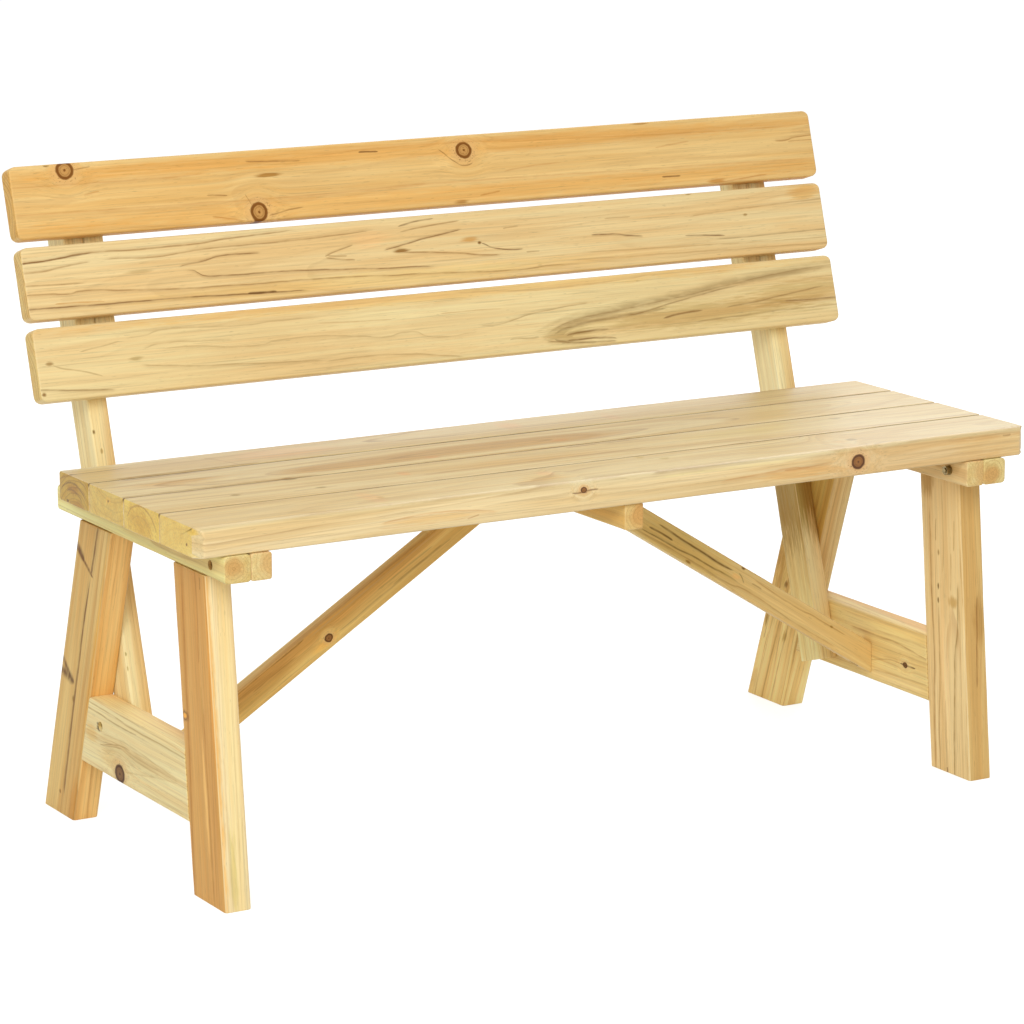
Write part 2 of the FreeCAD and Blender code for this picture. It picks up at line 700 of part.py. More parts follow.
def check(pieces):
    """Stop if a feature failed, a pocket or hole cut nothing, or a piece is not one sound shape."""
    for item in doc.Objects:
        if "Invalid" in item.State or "Error" in item.State:
            raise ValueError(f"{item.Label}: {item.State}")
        if item.TypeId == "PartDesign::Pocket" and item.Shape.Volume >= item.BaseFeature.Shape.Volume:
            raise ValueError(f"{item.Label}: it cuts nothing")
    for piece in pieces:
        if piece.Shape.isNull() or not piece.Shape.isValid():
            raise ValueError(f"{piece.Label}: its shape is not sound")
        if piece.TypeId == "Part::Cut":
            if len(piece.Shape.Solids) != 1:
                raise ValueError(f"{piece.Label}: it is not one solid")
            if piece.Shape.Volume >= piece.Base.Shape.Volume:
                raise ValueError(f"{piece.Label}: its holes cut nothing")


def main():
    """Build every piece, check them all and write one file for each."""
    fill_sheet()
    screws, drills = build_screws()
    bolts, drills["frame_bolts"] = build_bolts()
    pieces = [drilled(name, blank, [drills[key] for key in entering])
              for name, (blank, entering) in build_timber().items()]
    pieces += screws + bolts
    doc.recompute()
    check(pieces)
    os.makedirs("parts", exist_ok=True)
    for piece in pieces:
        piece.Shape.exportStep(f"parts/{piece.Label}.step")
    whole = Part.makeCompound([piece.Shape for piece in pieces])
    print(len(pieces), "nodes,", len(whole.Solids), "solids,", whole.BoundBox)


main()
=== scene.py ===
"""Looks of a planked garden bench in sawn softwood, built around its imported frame.

Every timber is worked out again as a surface with worn arrises, drilled where its fasteners enter it,
and dressed in a solid-wood material whose growth rings run through the whole piece. Lengths are in
millimetres until a mesh is filled; MM then turns them into metres.
"""

import sys

import logging
import math
from dataclasses import dataclass, field, replace
from enum import Enum

import bpy
import numpy as np
from mathutils import Euler, Matrix, Vector


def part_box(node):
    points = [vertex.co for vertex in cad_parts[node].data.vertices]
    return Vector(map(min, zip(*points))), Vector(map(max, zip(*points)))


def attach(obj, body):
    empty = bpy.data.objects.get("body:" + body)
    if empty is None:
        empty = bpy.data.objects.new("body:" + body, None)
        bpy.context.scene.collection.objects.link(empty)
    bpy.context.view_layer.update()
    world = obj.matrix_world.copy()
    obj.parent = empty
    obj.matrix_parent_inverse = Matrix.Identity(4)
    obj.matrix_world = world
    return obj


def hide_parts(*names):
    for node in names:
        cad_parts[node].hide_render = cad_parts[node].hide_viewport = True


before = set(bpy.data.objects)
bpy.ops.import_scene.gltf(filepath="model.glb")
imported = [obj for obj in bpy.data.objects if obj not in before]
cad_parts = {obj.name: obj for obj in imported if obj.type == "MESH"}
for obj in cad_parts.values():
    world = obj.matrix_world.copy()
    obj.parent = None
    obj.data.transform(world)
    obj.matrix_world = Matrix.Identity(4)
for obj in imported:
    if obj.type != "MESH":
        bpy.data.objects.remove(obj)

MM = 0.001
WHITE = (1.0, 1.0, 1.0, 1.0)
ROOT = "root"
FAR = 9000.0
MIDDLE = (0.5, 0.5, 0.5)

log = logging.getLogger("bench")

Socket = bpy.types.NodeSocket
Triple = tuple[float, float, float]


class Side(Enum):
    """Left and right as the bench is seen from in front, with the sign of X there."""

    LEFT = -1
    RIGHT = 1

    @property
    def word(self) -> str:
        """The side's name as the frame's nodes spell it."""
        return self.name.lower()


class Slot(Enum):
    """The record's material slots."""

    SEAT = "seat_wood"
    BACK = "back_wood"
    FRAME = "frame_wood"
    SCREW = "screw_steel"
    BOLT = "bolt_steel"


class Face(Enum):
    """The faces that a mark shows on, as the two axes that lie in them and the one that they look along."""

    WIDE = (0, 1, 2)
    EDGE = (0, 2, 1)
    END = (1, 2, 0)

    def spot(self, first: float, second: float) -> Triple:
        """Put a place on the face into the piece's own frame."""
        place = [0.0, 0.0, 0.0]
        place[self.value[0]] = first
        place[self.value[1]] = second
        return tuple(place)


def painted(red: float, green: float, blue: float) -> tuple[float, float, float, float]:
    """Turn a colour as a screen shows it, from 0 to 255, into a linear one.

    Args:
        red: Red on the screen.
        green: Green on the screen.
        blue: Blue on the screen.

    Returns:
        The linear colour with a full alpha.
    """
    shown = np.array([red, green, blue]) / 255
    low, high = shown / 12.92, ((shown + 0.055) / 1.055) ** 2.4
    return (*np.where(shown <= 0.04045, low, high).tolist(), 1.0)


@dataclass(frozen=True, kw_only=True)
class Mark:
    """Something that shows on one face of a timber; side is the sign of the way that the face looks."""

    face: Face = Face.WIDE
    side: int = 1


@dataclass(frozen=True)
class Oval(Mark):
    """A mark with a place along and across its face, and with half a length and half a width."""

    along: float
    across: float
    length: float
    width: float


class Knot(Oval):
    """A knot, which goes right through its timber."""


@dataclass(frozen=True)
class Stain(Oval):
    """A soft patch that multiplies the wood's colour by one in linear light, which may exceed one; it paints
    real stains, and also painted shade, painted light and painted reflection.
    """

    colour: Triple
    strength: float = 1.0


@dataclass(frozen=True)
class Line(Mark):
    """A curved grain line or a crack, with its places along and across the face one after another.

    fade is how far a weaker shadow reaches from the line, up the face or down it by its sign. A
    turned line runs across the face instead of along it.
    """

    width: float
    strength: float
    fade: float
    colour: Triple
    places: tuple[float, ...]
    turned: bool = False


def tint(colour: Triple) -> Stain:
    """Tint one whole face."""
    return Stain(0, 0, FAR, FAR, colour)


def line(width: float, strength: float, fade: float, colour: Triple, *places: float) -> Line:
    """Draw a line along the grain."""
    return Line(width, strength, fade, colour, places)


def crossing(width: float, strength: float, fade: float, colour: Triple, *places: float) -> Line:
    """Draw a line across the grain."""
    return Line(width, strength, fade, colour, places, turned=True)


BROWN = (158, 112, 54)
OLIVE = (176, 142, 88)
AMBER = (196, 130, 58)
UMBER = (118, 76, 32)
HAZEL = (150, 100, 48)
CHESTNUT = (134, 90, 40)
HONEY = (204, 142, 74)
SAND = (200, 160, 102)
BARK = (120, 76, 34)
PEAT = (112, 76, 30)

# The marks on each face of each timber, in millimetres from the face's middle, first along and then across.
MARKS: dict[tuple[str, Face, int], tuple[Mark, ...]] = {
    ("seat_plank_1", Face.EDGE, -1): (
        Knot(304.5, 0, 9, 8.6), Knot(-69.5, 7, 4.2, 3.4), tint((1.12, 1.09, 1.08)),
        Stain(380, 0, 260, 40, (0.95, 0.88, 0.82)), Stain(-262, -4, 75, 6, (1, 0.86, 0.66), 0.8),
        Stain(225, -5, 90, 7, (1, 0.86, 0.66), 0.8), Stain(500, 2, 90, 18, (0.95, 0.86, 0.68), 0.7),
        line(2, 0.55, -6, HONEY, -330, -2, -300, 0.5, -260, 2.5, -230, 1.5, -200, -2, -178, -5),
        line(1.8, 0.3, 0, HONEY, -335, -6, -290, -8.5, -240, -8.5, -208, -6),
        line(1.8, 0.6, 0, (176, 116, 54), -220, -9, -212, -7.5, -204, -6),
        line(2, 0.55, -7, HONEY, 110, -4, 150, -1, 180, 0.5, 215, 2.5, 228, 0.5, 250, 2, 270, 4),
        line(2.2, 0.5, 0, (196, 130, 62), 200, 1, 215, 0.5, 238, 0.5),
        line(2.5, 0.4, 5, (206, 158, 96), 430, 10, 500, 9, 560, 14),
        line(2.2, 0.75, 0, BARK, -86, 5, -76, 4.5, -60, 6, -50, 6),
        # Painted highlight: the two pale lines along the top of this front face stand for the light on the
        # rounded nose.
        line(3, 0.35, 0, (255, 228, 160), -560, 15, -420, 13, -250, 14),
        line(3.5, 0.4, 0, (255, 236, 164), 20, 11, 120, 11.5, 230, 12),
        line(2.6, 0.7, 0, (150, 110, 60), 514, 10, 520, 9.5, 527, 10),
    ),
    ("seat_plank_1", Face.END, -1): (
        tint((1.22, 1.2, 0.72)), Stain(-22, -4, 2.6, 2.2, (0.3, 0.2, 0.1)),
    ),
    ("seat_plank_1", Face.WIDE, 1): (
        Stain(324, -3, 9, 7, (0.6, 0.57, 0.52), 0.8), Stain(76, 16, 8, 8, (0.82, 0.78, 0.55), 0.9),
        Stain(54, 36, 8, 8, (0.84, 0.8, 0.58), 0.9), Stain(-306, -4, 7, 7, (0.8, 0.72, 0.56), 0.8),
        # Painted reflection: the pinkish patches, about (1.06, 0.88, 0.8), stand for the pink sheen of the
        # glossy seat top.
        Stain(-430, 44, 24, 4, (0.78, 0.7, 0.5), 0.9), Stain(-315, 0, 16, 40, (1.08, 0.9, 0.84), 0.6),
        Stain(-85, 15, 14, 16, (1.08, 0.9, 0.84), 0.7), Stain(-100, -5, 45, 25, (1, 0.9, 0.7), 0.7),
    ),
    ("seat_plank_2", Face.END, -1): (
        tint((1.2, 1.2, 0.62)), Stain(2, -4, 48, 28, (0.86, 0.74, 0.5)),
        line(3, 0.7, 0, (170, 116, 44), -40, -12, -32, 2, -18, 12, 0, 16, 20, 12, 33, 2, 40, -14),
        line(2, 0.4, 0, (180, 126, 52), -28, -12, -14, 0, 4, 4, 22, -2, 30, -12),
    ),
    ("seat_plank_2", Face.WIDE, 1): (
        Stain(-437, -4, 8, 6, (0.6, 0.52, 0.36)), Stain(-337, -16, 9, 6, (0.6, 0.54, 0.38)),
        Stain(-347, 41, 12, 6, (0.58, 0.52, 0.36)), Stain(382, 23, 12, 7, (0.72, 0.68, 0.6), 0.9),
        # Painted reflection: the pinkish patch stands for the sheen of the glossy top.
        Stain(-222, 5, 10, 14, (1.06, 0.84, 0.74), 0.8), Stain(-60, 0, 160, 18, (0.98, 0.86, 0.68), 0.7),
        Stain(230, 10, 110, 26, (0.94, 0.9, 0.7), 0.7),
        line(6, 0.5, 0, (166, 124, 66), -600, 42, -500, 41, -440, 40.5, -340, 41),
        line(5, 0.5, 0, (176, 132, 72), -200, 44, -100, 44, 20, 43),
        line(6, 0.6, 0, (160, 118, 60), 5, 36, 60, 37, 115, 37.5),
        line(7, 0.45, 6, (172, 124, 66), -215, -14, -100, -12.5, 0, -12, 100, -9),
        line(4, 0.35, 0, (190, 156, 100), -495, -5, -437, -5, -345, -4),
        line(4, 0.4, 0, (170, 130, 70), -375, -18, -337, -17, -315, -18),
        line(6, 0.45, 0, (176, 136, 80), 180, -42, 300, -39, 420, -38, 620, -38),
        line(5, 0.35, 0, (186, 160, 110), 300, 16, 370, 22, 420, 26, 480, 27),
    ),
    ("seat_plank_3", Face.END, -1): (
        tint((1.05, 1, 0.57)), Stain(-6, 6, 3, 2.2, (0.4, 0.3, 0.2)),
        Stain(-6, 6, 9, 6, (1.2, 1.15, 1), 0.8), line(1.6, 0.8, 0, BARK, -8, -12, -6, 0, -4, 4),
    ),
    ("seat_plank_3", Face.WIDE, 1): (
        # Painted reflection: the pinkish patches stand for the sheen of the glossy top.
        Stain(-470, 0, 80, 20, (0.92, 0.78, 0.58), 0.9), Stain(-150, -23, 14, 8, (1.06, 0.82, 0.74), 0.8),
        Stain(28, -13, 16, 10, (1.06, 0.84, 0.76), 0.7), Stain(-347, -44, 8, 5, (0.6, 0.5, 0.36), 0.9),
        line(5, 0.55, 0, (160, 118, 62), -600, -42, -480, -42, -390, -43, -300, -43),
        line(6, 0.65, -5, (140, 98, 48), -520, 38, -450, 39, -405, 41, -330, 43),
        line(5, 0.5, 0, (176, 130, 70), -560, 12, -480, 8, -400, 6),
        line(5, 0.45, 0, (176, 130, 70), -560, -12, -490, -16, -430, -20, -350, -22),
        line(5, 0.35, 0, (196, 160, 104), -100, 30, 50, 26, 200, 30, 360, 34),
    ),
    ("seat_plank_4", Face.END, -1): (
        tint((0.83, 0.72, 0.24)), Stain(17, -14, 4, 3, (0.3, 0.2, 0.1)),
        Stain(0, 2, 22, 9, (0.8, 0.66, 0.42)),
        line(3, 0.75, 0, (120, 82, 30), -34, -8, -18, 4, 2, 9, 22, 5, 36, -8),
        line(2.6, 0.65, 0, (120, 82, 30), -24, -12, -10, -2, 6, 1, 20, -4),
        line(2.4, 0.5, 0, (140, 96, 40), -38, 6, -20, 14, 0, 17, 24, 13, 40, 4),
    ),
    ("seat_plank_4", Face.WIDE, 1): (
        # Painted reflection: the large pinkish patch and the two after it stand for the sheen of the glossy
        # top.
        Stain(-550, 10, 10, 4, (0.4, 0.28, 0.16)), Stain(-290, 0, 90, 34, (1.06, 0.9, 0.84), 0.8),
        Stain(20, 5, 22, 30, (1.06, 0.88, 0.82), 0.7), Stain(155, -8, 14, 26, (1.04, 0.9, 0.84), 0.6),
        line(2.2, 0.85, 0, BARK, -600, 9, -551, 10, -520, 11, -470, 13),
        line(5, 0.6, 0, (150, 108, 56), -520, -36, -450, -37, -400, -36, -330, -36),
        line(5, 0.7, 0, (176, 130, 76), -380, 18, -370, 2, -364, -18, -358, -33),
    ),
    ("front_leg_left", Face.WIDE, -1): (
        tint((0.8, 0.56, 0.3)), Stain(20, -32, 8, 12, (0.2, 0.14, 0.06)),
        Stain(20, -32, 4.4, 6.6, (8, 10, 14)), Stain(-60, 8, 90, 4.5, (1.3, 1.42, 1.6), 0.9),
        Stain(60, 38, 150, 6, (1.12, 1, 0.84), 0.9),
        line(5, 0.6, 5, (186, 122, 50), -200, 13, -150, 13.5, -100, 14, -60, 15, 0, 15, 40, 16),
        line(3, 0.45, 0, (186, 122, 50), -200, 20, -140, 22, -80, 26, -20, 29, 20, 32, 80, 36),
        line(6, 0.6, 8, (184, 124, 54), -200, -36, -120, -33, -60, -29, 0, -26, 60, -24, 140, -21, 190, -18),
        line(5, 0.3, 0, (196, 142, 74), -200, -17, -150, -16, -80, -14, 0, -12, 60, -10),
        line(4, 0.5, 0, (180, 120, 56), 80, 11, 110, 13, 150, 15.5, 190, 14),
        line(4, 0.35, 0, (190, 140, 60), 10, 12, 40, 13, 60, 14),
        line(3, 0.4, 0, (190, 130, 64), 100, 37, 140, 38, 185, 37),
        line(2.4, 0.6, 0, (150, 100, 40), 165, 25, 172, 26, 180, 26),
    ),
    ("front_leg_left", Face.EDGE, 1): (
        Stain(-150, -3, 70, 6, (0.86, 0.86, 0.66), 0.9), Stain(0, -17, 400, 9, (0.98, 0.76, 0.5)),
        Stain(0, 4, 400, 12, (1.06, 1.06, 0.96)),
        line(2.5, 0.3, 3, (214, 180, 116), -200, -6, -100, -7, 0, -5, 200, -2),
        line(2, 0.3, 0, (220, 184, 122), -200, 4, -60, 6, 60, 8, 200, 9),
    ),
    ("rear_leg_left", Face.WIDE, -1): (
        tint((0.95, 0.88, 0.7)), Stain(-60, 40, 9, 3, (0.4, 0.32, 0.18)),
        Stain(-36, 1, 7, 4, (0.5, 0.42, 0.26)), Stain(-167, -3, 4, 4, (0.5, 0.42, 0.3)),
        Stain(-160, 32, 45, 14, (1, 0.84, 0.6), 0.9), Stain(60, 40, 160, 10, (1.05, 0.92, 0.66), 0.9),
        line(5, 0.85, -6, (112, 72, 28), -170, 8, -100, 5, -50, 4, 0, 4, 60, 3, 110, 4.5, 128, 6, 137, 9),
        line(6, 0.85, 6, (112, 72, 28), 134, 6, 150, 7, 175, 8, 196, 9, 204, 12),
        crossing(13, 0.9, 0, (104, 64, 22), -90, 172, -40, 151, -28, 146.5, -12, 141),
        crossing(6, 0.85, 0, (120, 78, 32), -60, 156, -40, 149, -20, 142, -5, 138, 14, 133),
        crossing(14, 0.85, 0, (104, 68, 26), -80, -22, -40, -18, -20, -16, 0, -15),
        crossing(10, 0.85, 0, (104, 68, 26), -80, 16, -40, -1, -26, -8, -8, -15),
        line(5, 0.35, 0, (170, 130, 64), -170, 8, -80, 5, 60, 3),
        line(3, 0.25, 0, (186, 140, 80), -210, -22, -120, -24, -40, -26),
        line(3, 0.35, 0, (196, 146, 76), 0, 30, 60, 27, 120, 24, 200, 22),
        line(2.6, 0.35, 0, (190, 146, 84), -120, 20, -60, 22, 0, 21),
    ),
    ("rear_leg_left", Face.EDGE, 1): (tint((1.12, 0.98, 0.8)),),
    ("stretcher_left", Face.WIDE, -1): (
        Knot(41, -30.5, 12.6, 10.6), Stain(95, 12, 9, 7.4, (0.12, 0.09, 0.05)),
        Stain(10, -4, 120, 13, (0.84, 0.78, 0.7), 0.9), Stain(60, -20, 50, 14, (0.9, 0.8, 0.66), 0.8),
        Stain(118, 0, 22, 14, (0.94, 0.8, 0.6), 0.8),
        line(2.6, 0.5, 0, (188, 150, 84), -150, 42, -60, 41, 0, 40, 60, 41, 140, 42),
        line(2.4, 0.6, 2, (178, 142, 72), -150, 30, -60, 31, 0, 31, 40, 33, 90, 35.5, 150, 36),
        line(2.4, 0.65, 2, (168, 132, 64), -10, 27, 30, 25.5, 70, 26.5, 100, 28.5, 150, 28.5),
        line(2.4, 0.4, -5, (196, 164, 100), -116, 0, -100, 2, -60, 4, -20, 8, 20, 9.5, 60, 8, 95, 4),
        line(2.4, 0.4, 5, (196, 164, 100), -116, -3, -60, -10, -20, -17, 10, -22, 30, -27),
        line(2, 0.6, 0, (166, 122, 60), 10, 3.5, 30, 4, 50, 1.5, 75, -4.5, 95, -9),
        line(1.8, 0.5, 0, (166, 122, 60), 36, 0, 55, -2, 80, -7, 96, -8),
        line(2.4, 0.35, 0, (196, 170, 100), -130, -36, -60, -35, -20, -35),
    ),
    ("brace_left", Face.WIDE, 1): (
        Knot(-37.6, -4, 5, 4.8), tint((0.99, 0.88, 0.64)), Stain(-140, 2, 70, 20, (0.82, 0.78, 0.72), 0.9),
        Stain(-45, -6, 26, 8, (1.15, 0.98, 0.7), 0.8),
        line(4, 0.7, 0, (116, 72, 20), -180, 16, -140, 16.5, -100, 16, -60, 15.5),
        line(2.4, 0.5, 0, (206, 168, 106), -60, 12.5, -20, 12.5, 60, 12.5, 150, 12.5),
        line(2.2, 0.4, 0, (150, 104, 46), -30, -6, -10, -6, 30, -5, 90, -5, 160, -7),
        line(2.2, 0.35, 0, (150, 104, 46), 40, 4, 80, 3, 130, 2),
        line(2.2, 0.35, 0, (130, 86, 34), -150, 4, -120, 5, -80, 4),
        line(2.2, 0.4, 0, (140, 92, 40), 60, -3, 110, -4, 140, -4),
    ),
    ("front_leg_right", Face.WIDE, -1): (
        tint((1, 0.96, 0.88)), Stain(-60, -3, 120, 10, (1.12, 1.12, 1.16), 0.9),
        Stain(28, 19, 10, 13, (0.74, 0.62, 0.44)), Stain(175, -26, 28, 20, (0.66, 0.56, 0.4)),
        Stain(28, -11, 5, 2.4, (0.3, 0.22, 0.12)), Stain(45.5, -10, 5, 2.4, (0.3, 0.22, 0.12)),
        Stain(87, -7, 5, 2.4, (0.6, 0.5, 0.36)),
        line(3.5, 0.7, 6, (160, 118, 50), -200, 9, -130, 12, -80, 16, -40, 19, -10, 25, 20, 28, 60, 29),
        line(3, 0.6, -3, (176, 124, 60), -200, -19, -140, -19, -90, -15, -30, -12, 30, -11),
        line(4, 0.65, 3, (172, 118, 50), -200, -29, -140, -28, -90, -26, -30, -23, 40, -24, 100, -23, 150,
            -22),
        line(4, 0.35, 0, (190, 148, 90), -200, -5, -140, -5, -90, -2),
        line(3, 0.4, 0, (190, 144, 82), -200, 27, -120, 28, -60, 29, 0, 31, 30, 31),
        line(3, 0.45, 0, (184, 136, 70), -200, 36, -100, 38, 0, 40, 60, 37, 110, 40),
        line(3, 0.4, 0, (196, 152, 84), 60, -4, 90, 3, 130, 4, 180, 3),
        line(2.6, 0.5, 0, (170, 120, 56), 100, -12, 118, -11, 130, -9),
        line(2.6, 0.45, 0, (186, 134, 66), 40, 15, 70, 17, 90, 18),
        line(2.6, 0.5, 0, (180, 136, 66), 90, 24, 115, 26, 130, 27),
        line(2.2, 0.9, 0, (120, 76, 32), -187, -5, -183, -5, -178, -5),
    ),
    ("front_leg_right", Face.EDGE, 1): (
        tint((0.8, 0.67, 0.46)), Stain(5, 8, 40, 14, (0.8, 0.72, 0.6), 0.9),
        line(2.6, 0.6, 0, (136, 88, 40), -80, 0, -20, 2, 40, 5),
    ),
    ("rear_leg_right", Face.WIDE, -1): (
        tint((1.29, 1.33, 1.2)), Stain(140, 0, 260, 900, (0.64, 0.56, 0.36)),
        Stain(-92, 12, 12, 5, (0.66, 0.56, 0.36)), Stain(-25, -9, 8, 4, (0.4, 0.3, 0.14)),
        Stain(-90, -33, 14, 4, (0.5, 0.42, 0.24)),
        line(3.4, 0.65, 3, (150, 106, 44), -190, 41, -130, 40, -80, 37, -60, 36),
        line(3.4, 0.5, 4, (170, 124, 58), -200, 14, -140, 12, -90, 13, -60, 14),
        line(3.4, 0.55, -3, (166, 120, 56), -210, -7, -140, -7, -90, -5, -60, -5),
        line(2.6, 0.6, 0, (150, 106, 44), -120, -30, -95, -29, -80, -29),
        line(3, 0.35, 0, (176, 130, 64), -210, -22, -140, -24, -100, -22),
    ),
    ("rear_leg_right", Face.EDGE, 1): (Stain(-160, 0, 200, 900, (1.36, 1.5, 1.52)),),
    ("stretcher_right", Face.WIDE, -1): (
        Knot(-90, -6.5, 4.6, 3.4), tint((1.02, 0.94, 0.77)), Stain(-70, 31, 90, 7, (1.1, 1.12, 1.1), 0.9),
        Stain(-70, -31, 90, 9, (1.12, 1.2, 1.4), 0.9),
        line(2.6, 0.6, -5, (176, 124, 58), -140, 10, -125, 11, -95, 15, -60, 18, -20, 18, 30, 19),
        line(2.2, 0.3, 0, (196, 140, 66), -140, 0, -80, -3, -40, -5),
        line(2.6, 0.9, 0, (96, 60, 24), -112, -6.5, -100, -6.5, -88, -6.5, -78, -6.5),
        line(2.2, 0.5, 0, (180, 128, 62), -84, -6.5, -60, -7, -40, -10, -20, -15, 10, -20),
        line(2.6, 0.4, 0, (186, 140, 72), -140, -22, -80, -24, -20, -27),
        line(3, 0.35, 0, (190, 144, 80), -140, 24, -80, 25, -20, 24),
    ),
    ("brace_right", Face.WIDE, -1): (
        Stain(60, 0, 130, 34, (0.92, 0.9, 0.71), 0.95), Stain(-37, 1, 10, 4.6, (1.15, 1, 0.9), 0.8),
        Stain(-41, 15, 5, 3.4, (0.3, 0.2, 0.1)), Stain(37, -13, 6, 2.4, (0.5, 0.38, 0.2)),
        Stain(-201, 8, 4, 2.4, (0.42, 0.34, 0.16)),
        line(2.2, 0.55, 0, (176, 126, 54), -230, 8, -201, 7.5, -170, 8, -150, 6.5, -120, 6.5, -90, 8, -58,
            9.5),
        line(2.2, 0.55, -3, (172, 124, 52), -230, -12, -160, -11.5, -110, -9.5, -70, -7.5, -50, -8, -40, -10,
            -25, -11, 20, -10, 60, -10, 130, -11),
        line(2, 0.65, 0, (140, 98, 44), -52, -1, -49, 1, -45, 4, -38, 7),
        line(3, 0.8, 0, PEAT, 130, 3, 150, 4, 180, 3.5), line(3, 0.8, 0, PEAT, 70, -1, 90, 0, 112, -0.5),
        line(3.4, 0.85, 0, PEAT, -32, 6.5, -20, 5.5, 0, 5, 20, 5.5, 60, 6.5, 104, 8.5),
        line(2.4, 0.75, 0, (130, 92, 38), -46, -4, -15, -3, 0, -4, 30, -4, 60, -6, 125, -7),
        line(2, 0.5, 0, (150, 106, 46), -80, 3.5, -74, 4, -62, 3.5),
    ),
    ("back_board_bottom", Face.WIDE, 1): (
        Stain(0, 38, 700, 10, (1, 0.84, 0.62), 0.8), Stain(340, -16, 240, 20, (0.78, 0.71, 0.57), 0.9),
        Stain(500, 0, 110, 22, (0.8, 0.73, 0.58), 0.8), Stain(20, 0, 260, 60, (1.05, 1.1, 1.16), 0.9),
        Stain(150, -25, 46, 15, (0.7, 0.64, 0.52), 0.9), Stain(-536, 1, 7, 4, (0.5, 0.4, 0.28), 0.9),
        Stain(-428, -3, 12, 4, (0.7, 0.66, 0.56), 0.9), Stain(-548, -33.5, 4, 3, (0.4, 0.3, 0.2)),
        line(2.2, 0.55, 0, OLIVE, -534, 0, -520, -6, -505, -9, -490, -13, -470, -20),
        line(2, 0.5, 0, OLIVE, -497, 11, -470, 15, -445, 19),
        line(2.2, 0.42, 5, OLIVE, -442, 21, -410, 24, -385, 28, -365, 27.5, -320, 25.5, -280, 24, -240, 25.5,
            -180, 21),
        line(2.2, 0.42, 4, OLIVE, -420, 5, -412, 9, -395, 12, -375, 12.5, -350, 11, -300, 8),
        line(2.2, 0.42, -5, OLIVE, -405, 6, -370, 6, -345, 5, -325, 2, -300, -0.5, -265, -1, -250, 2, -200,
            3, -160, 0, -130, -3, -100, -6, -75, -3, -60, -4, -50, -9, -30, -13, -10, -13.5, 10, -11.5, 36,
            -12),
        line(2, 0.6, -5, OLIVE, -427, -6, -412, -12, -380, -15, -350, -18, -300, -21, -250, -23.5, -180,
            -27),
        line(2.6, 0.65, -4, (146, 108, 56), -600, -26, -552, -28, -520, -31, -455, -36),
        line(2, 0.5, 0, SAND, -190, 18, -150, 16, -85, 14), line(2, 0.5, 0, SAND, -25, 15, 20, 15, 65, 14),
        line(2.2, 0.55, -4, OLIVE, -190, -28, -130, -27, -80, -29, -40, -34, 5, -40),
        line(2, 0.6, 4, OLIVE, 25, -4, 45, -5, 60, -3.5, 80, 0, 100, 4, 140, 8, 190, 11),
        line(2.4, 0.5, 0, OLIVE, 66, -26, 75, -24, 93, -25, 110, -25),
        line(2.4, 0.6, -8, (152, 112, 58), 114, -26, 122, -21, 140, -14, 160, -9, 184, -6, 230, -2, 280, 3,
            340, 10, 400, 17, 450, 23, 500, 27, 580, 31),
        line(9, 0.4, 0, (186, 160, 106), 100, -20, 140, -8, 184, -1, 280, 8, 340, 15, 450, 27, 580, 35),
        line(2.4, 0.6, -4, (150, 110, 58), 116, -28, 122, -31, 145, -35, 184, -38, 220, -39),
        line(9, 0.55, 0, (168, 140, 90), 118, -26, 128, -18, 150, -12, 190, -6, 250, 1, 320, 9, 420, 20, 560,
            28),
        line(5, 0.6, 0, (150, 120, 72), 128, -27, 136, -21, 152, -17, 184, -13, 240, -9, 300, -5),
        line(4, 0.6, 0, (150, 120, 72), 128, -28, 138, -33, 160, -36, 190, -38),
        line(4, 0.7, 0, (240, 214, 152), 142, -27, 150, -23, 166, -20, 196, -18, 230, -18),
        line(3, 0.7, 0, (134, 98, 50), 146, -29, 158, -25, 176, -24, 210, -24),
        line(3, 0.6, 0, (236, 208, 146), 154, -29, 170, -28, 200, -28),
        line(3, 0.75, 0, (130, 90, 42), 146, -33, 165, -33, 184, -33, 220, -37),
        line(2.6, 0.5, 5, SAND, -5, 39, 60, 36, 120, 33, 190, 34, 285, 39),
        line(2.2, 0.55, 0, (146, 108, 60), 235, -10, 250, -9, 280, -4, 330, 5, 410, 15),
        line(3, 0.7, 0, (128, 88, 44), 288, -18, 305, -15, 320, -13, 350, -12),
        line(2.8, 0.65, -4, (138, 98, 52), 470, -10, 510, -12, 580, -13),
        line(4, 0.5, 0, (232, 206, 146), 290, -9, 360, -1, 410, 8, 450, 14, 500, 17),
        line(2.4, 0.5, 0, (146, 106, 58), 380, -12, 430, -8, 480, -2, 540, 4),
        line(2.6, 0.45, 0, (150, 112, 62), 330, -26, 400, -24, 470, -22, 580, -22),
    ),
    ("back_board_middle", Face.WIDE, 1): (
        Stain(-408, 4, 24, 4, (0.78, 0.74, 0.66), 0.9), Stain(-105, 18, 34, 13, (1.08, 1, 0.98), 0.8),
        Stain(-64, 2, 14, 4, (0.42, 0.3, 0.17)), Stain(32, 8, 16, 4, (0.82, 0.6, 0.36), 0.9),
        Stain(45, 3, 3.5, 2.6, (0.3, 0.2, 0.1)), Stain(433, 9, 4.5, 2.6, (0.6, 0.5, 0.36)),
        Stain(353, 42, 6, 3, (0.4, 0.3, 0.16)), Stain(526, 32, 34, 14, (0.92, 0.74, 0.5), 0.9),
        Stain(-100, -30, 420, 14, (1.04, 1, 0.84), 0.8),
        line(2.4, 0.7, 4, BROWN, -600, 23, -552, 24.5, -530, 25, -500, 27.5, -470, 30.5, -440, 30, -350, 30,
            -280, 34, -190, 37),
        line(2.6, 0.7, 0, UMBER, -600, 23, -530, 25, -500, 27.5, -460, 30.5),
        line(2.4, 0.7, 3, BROWN, -600, 13, -552, 13, -530, 13.5, -505, 16.5, -465, 20),
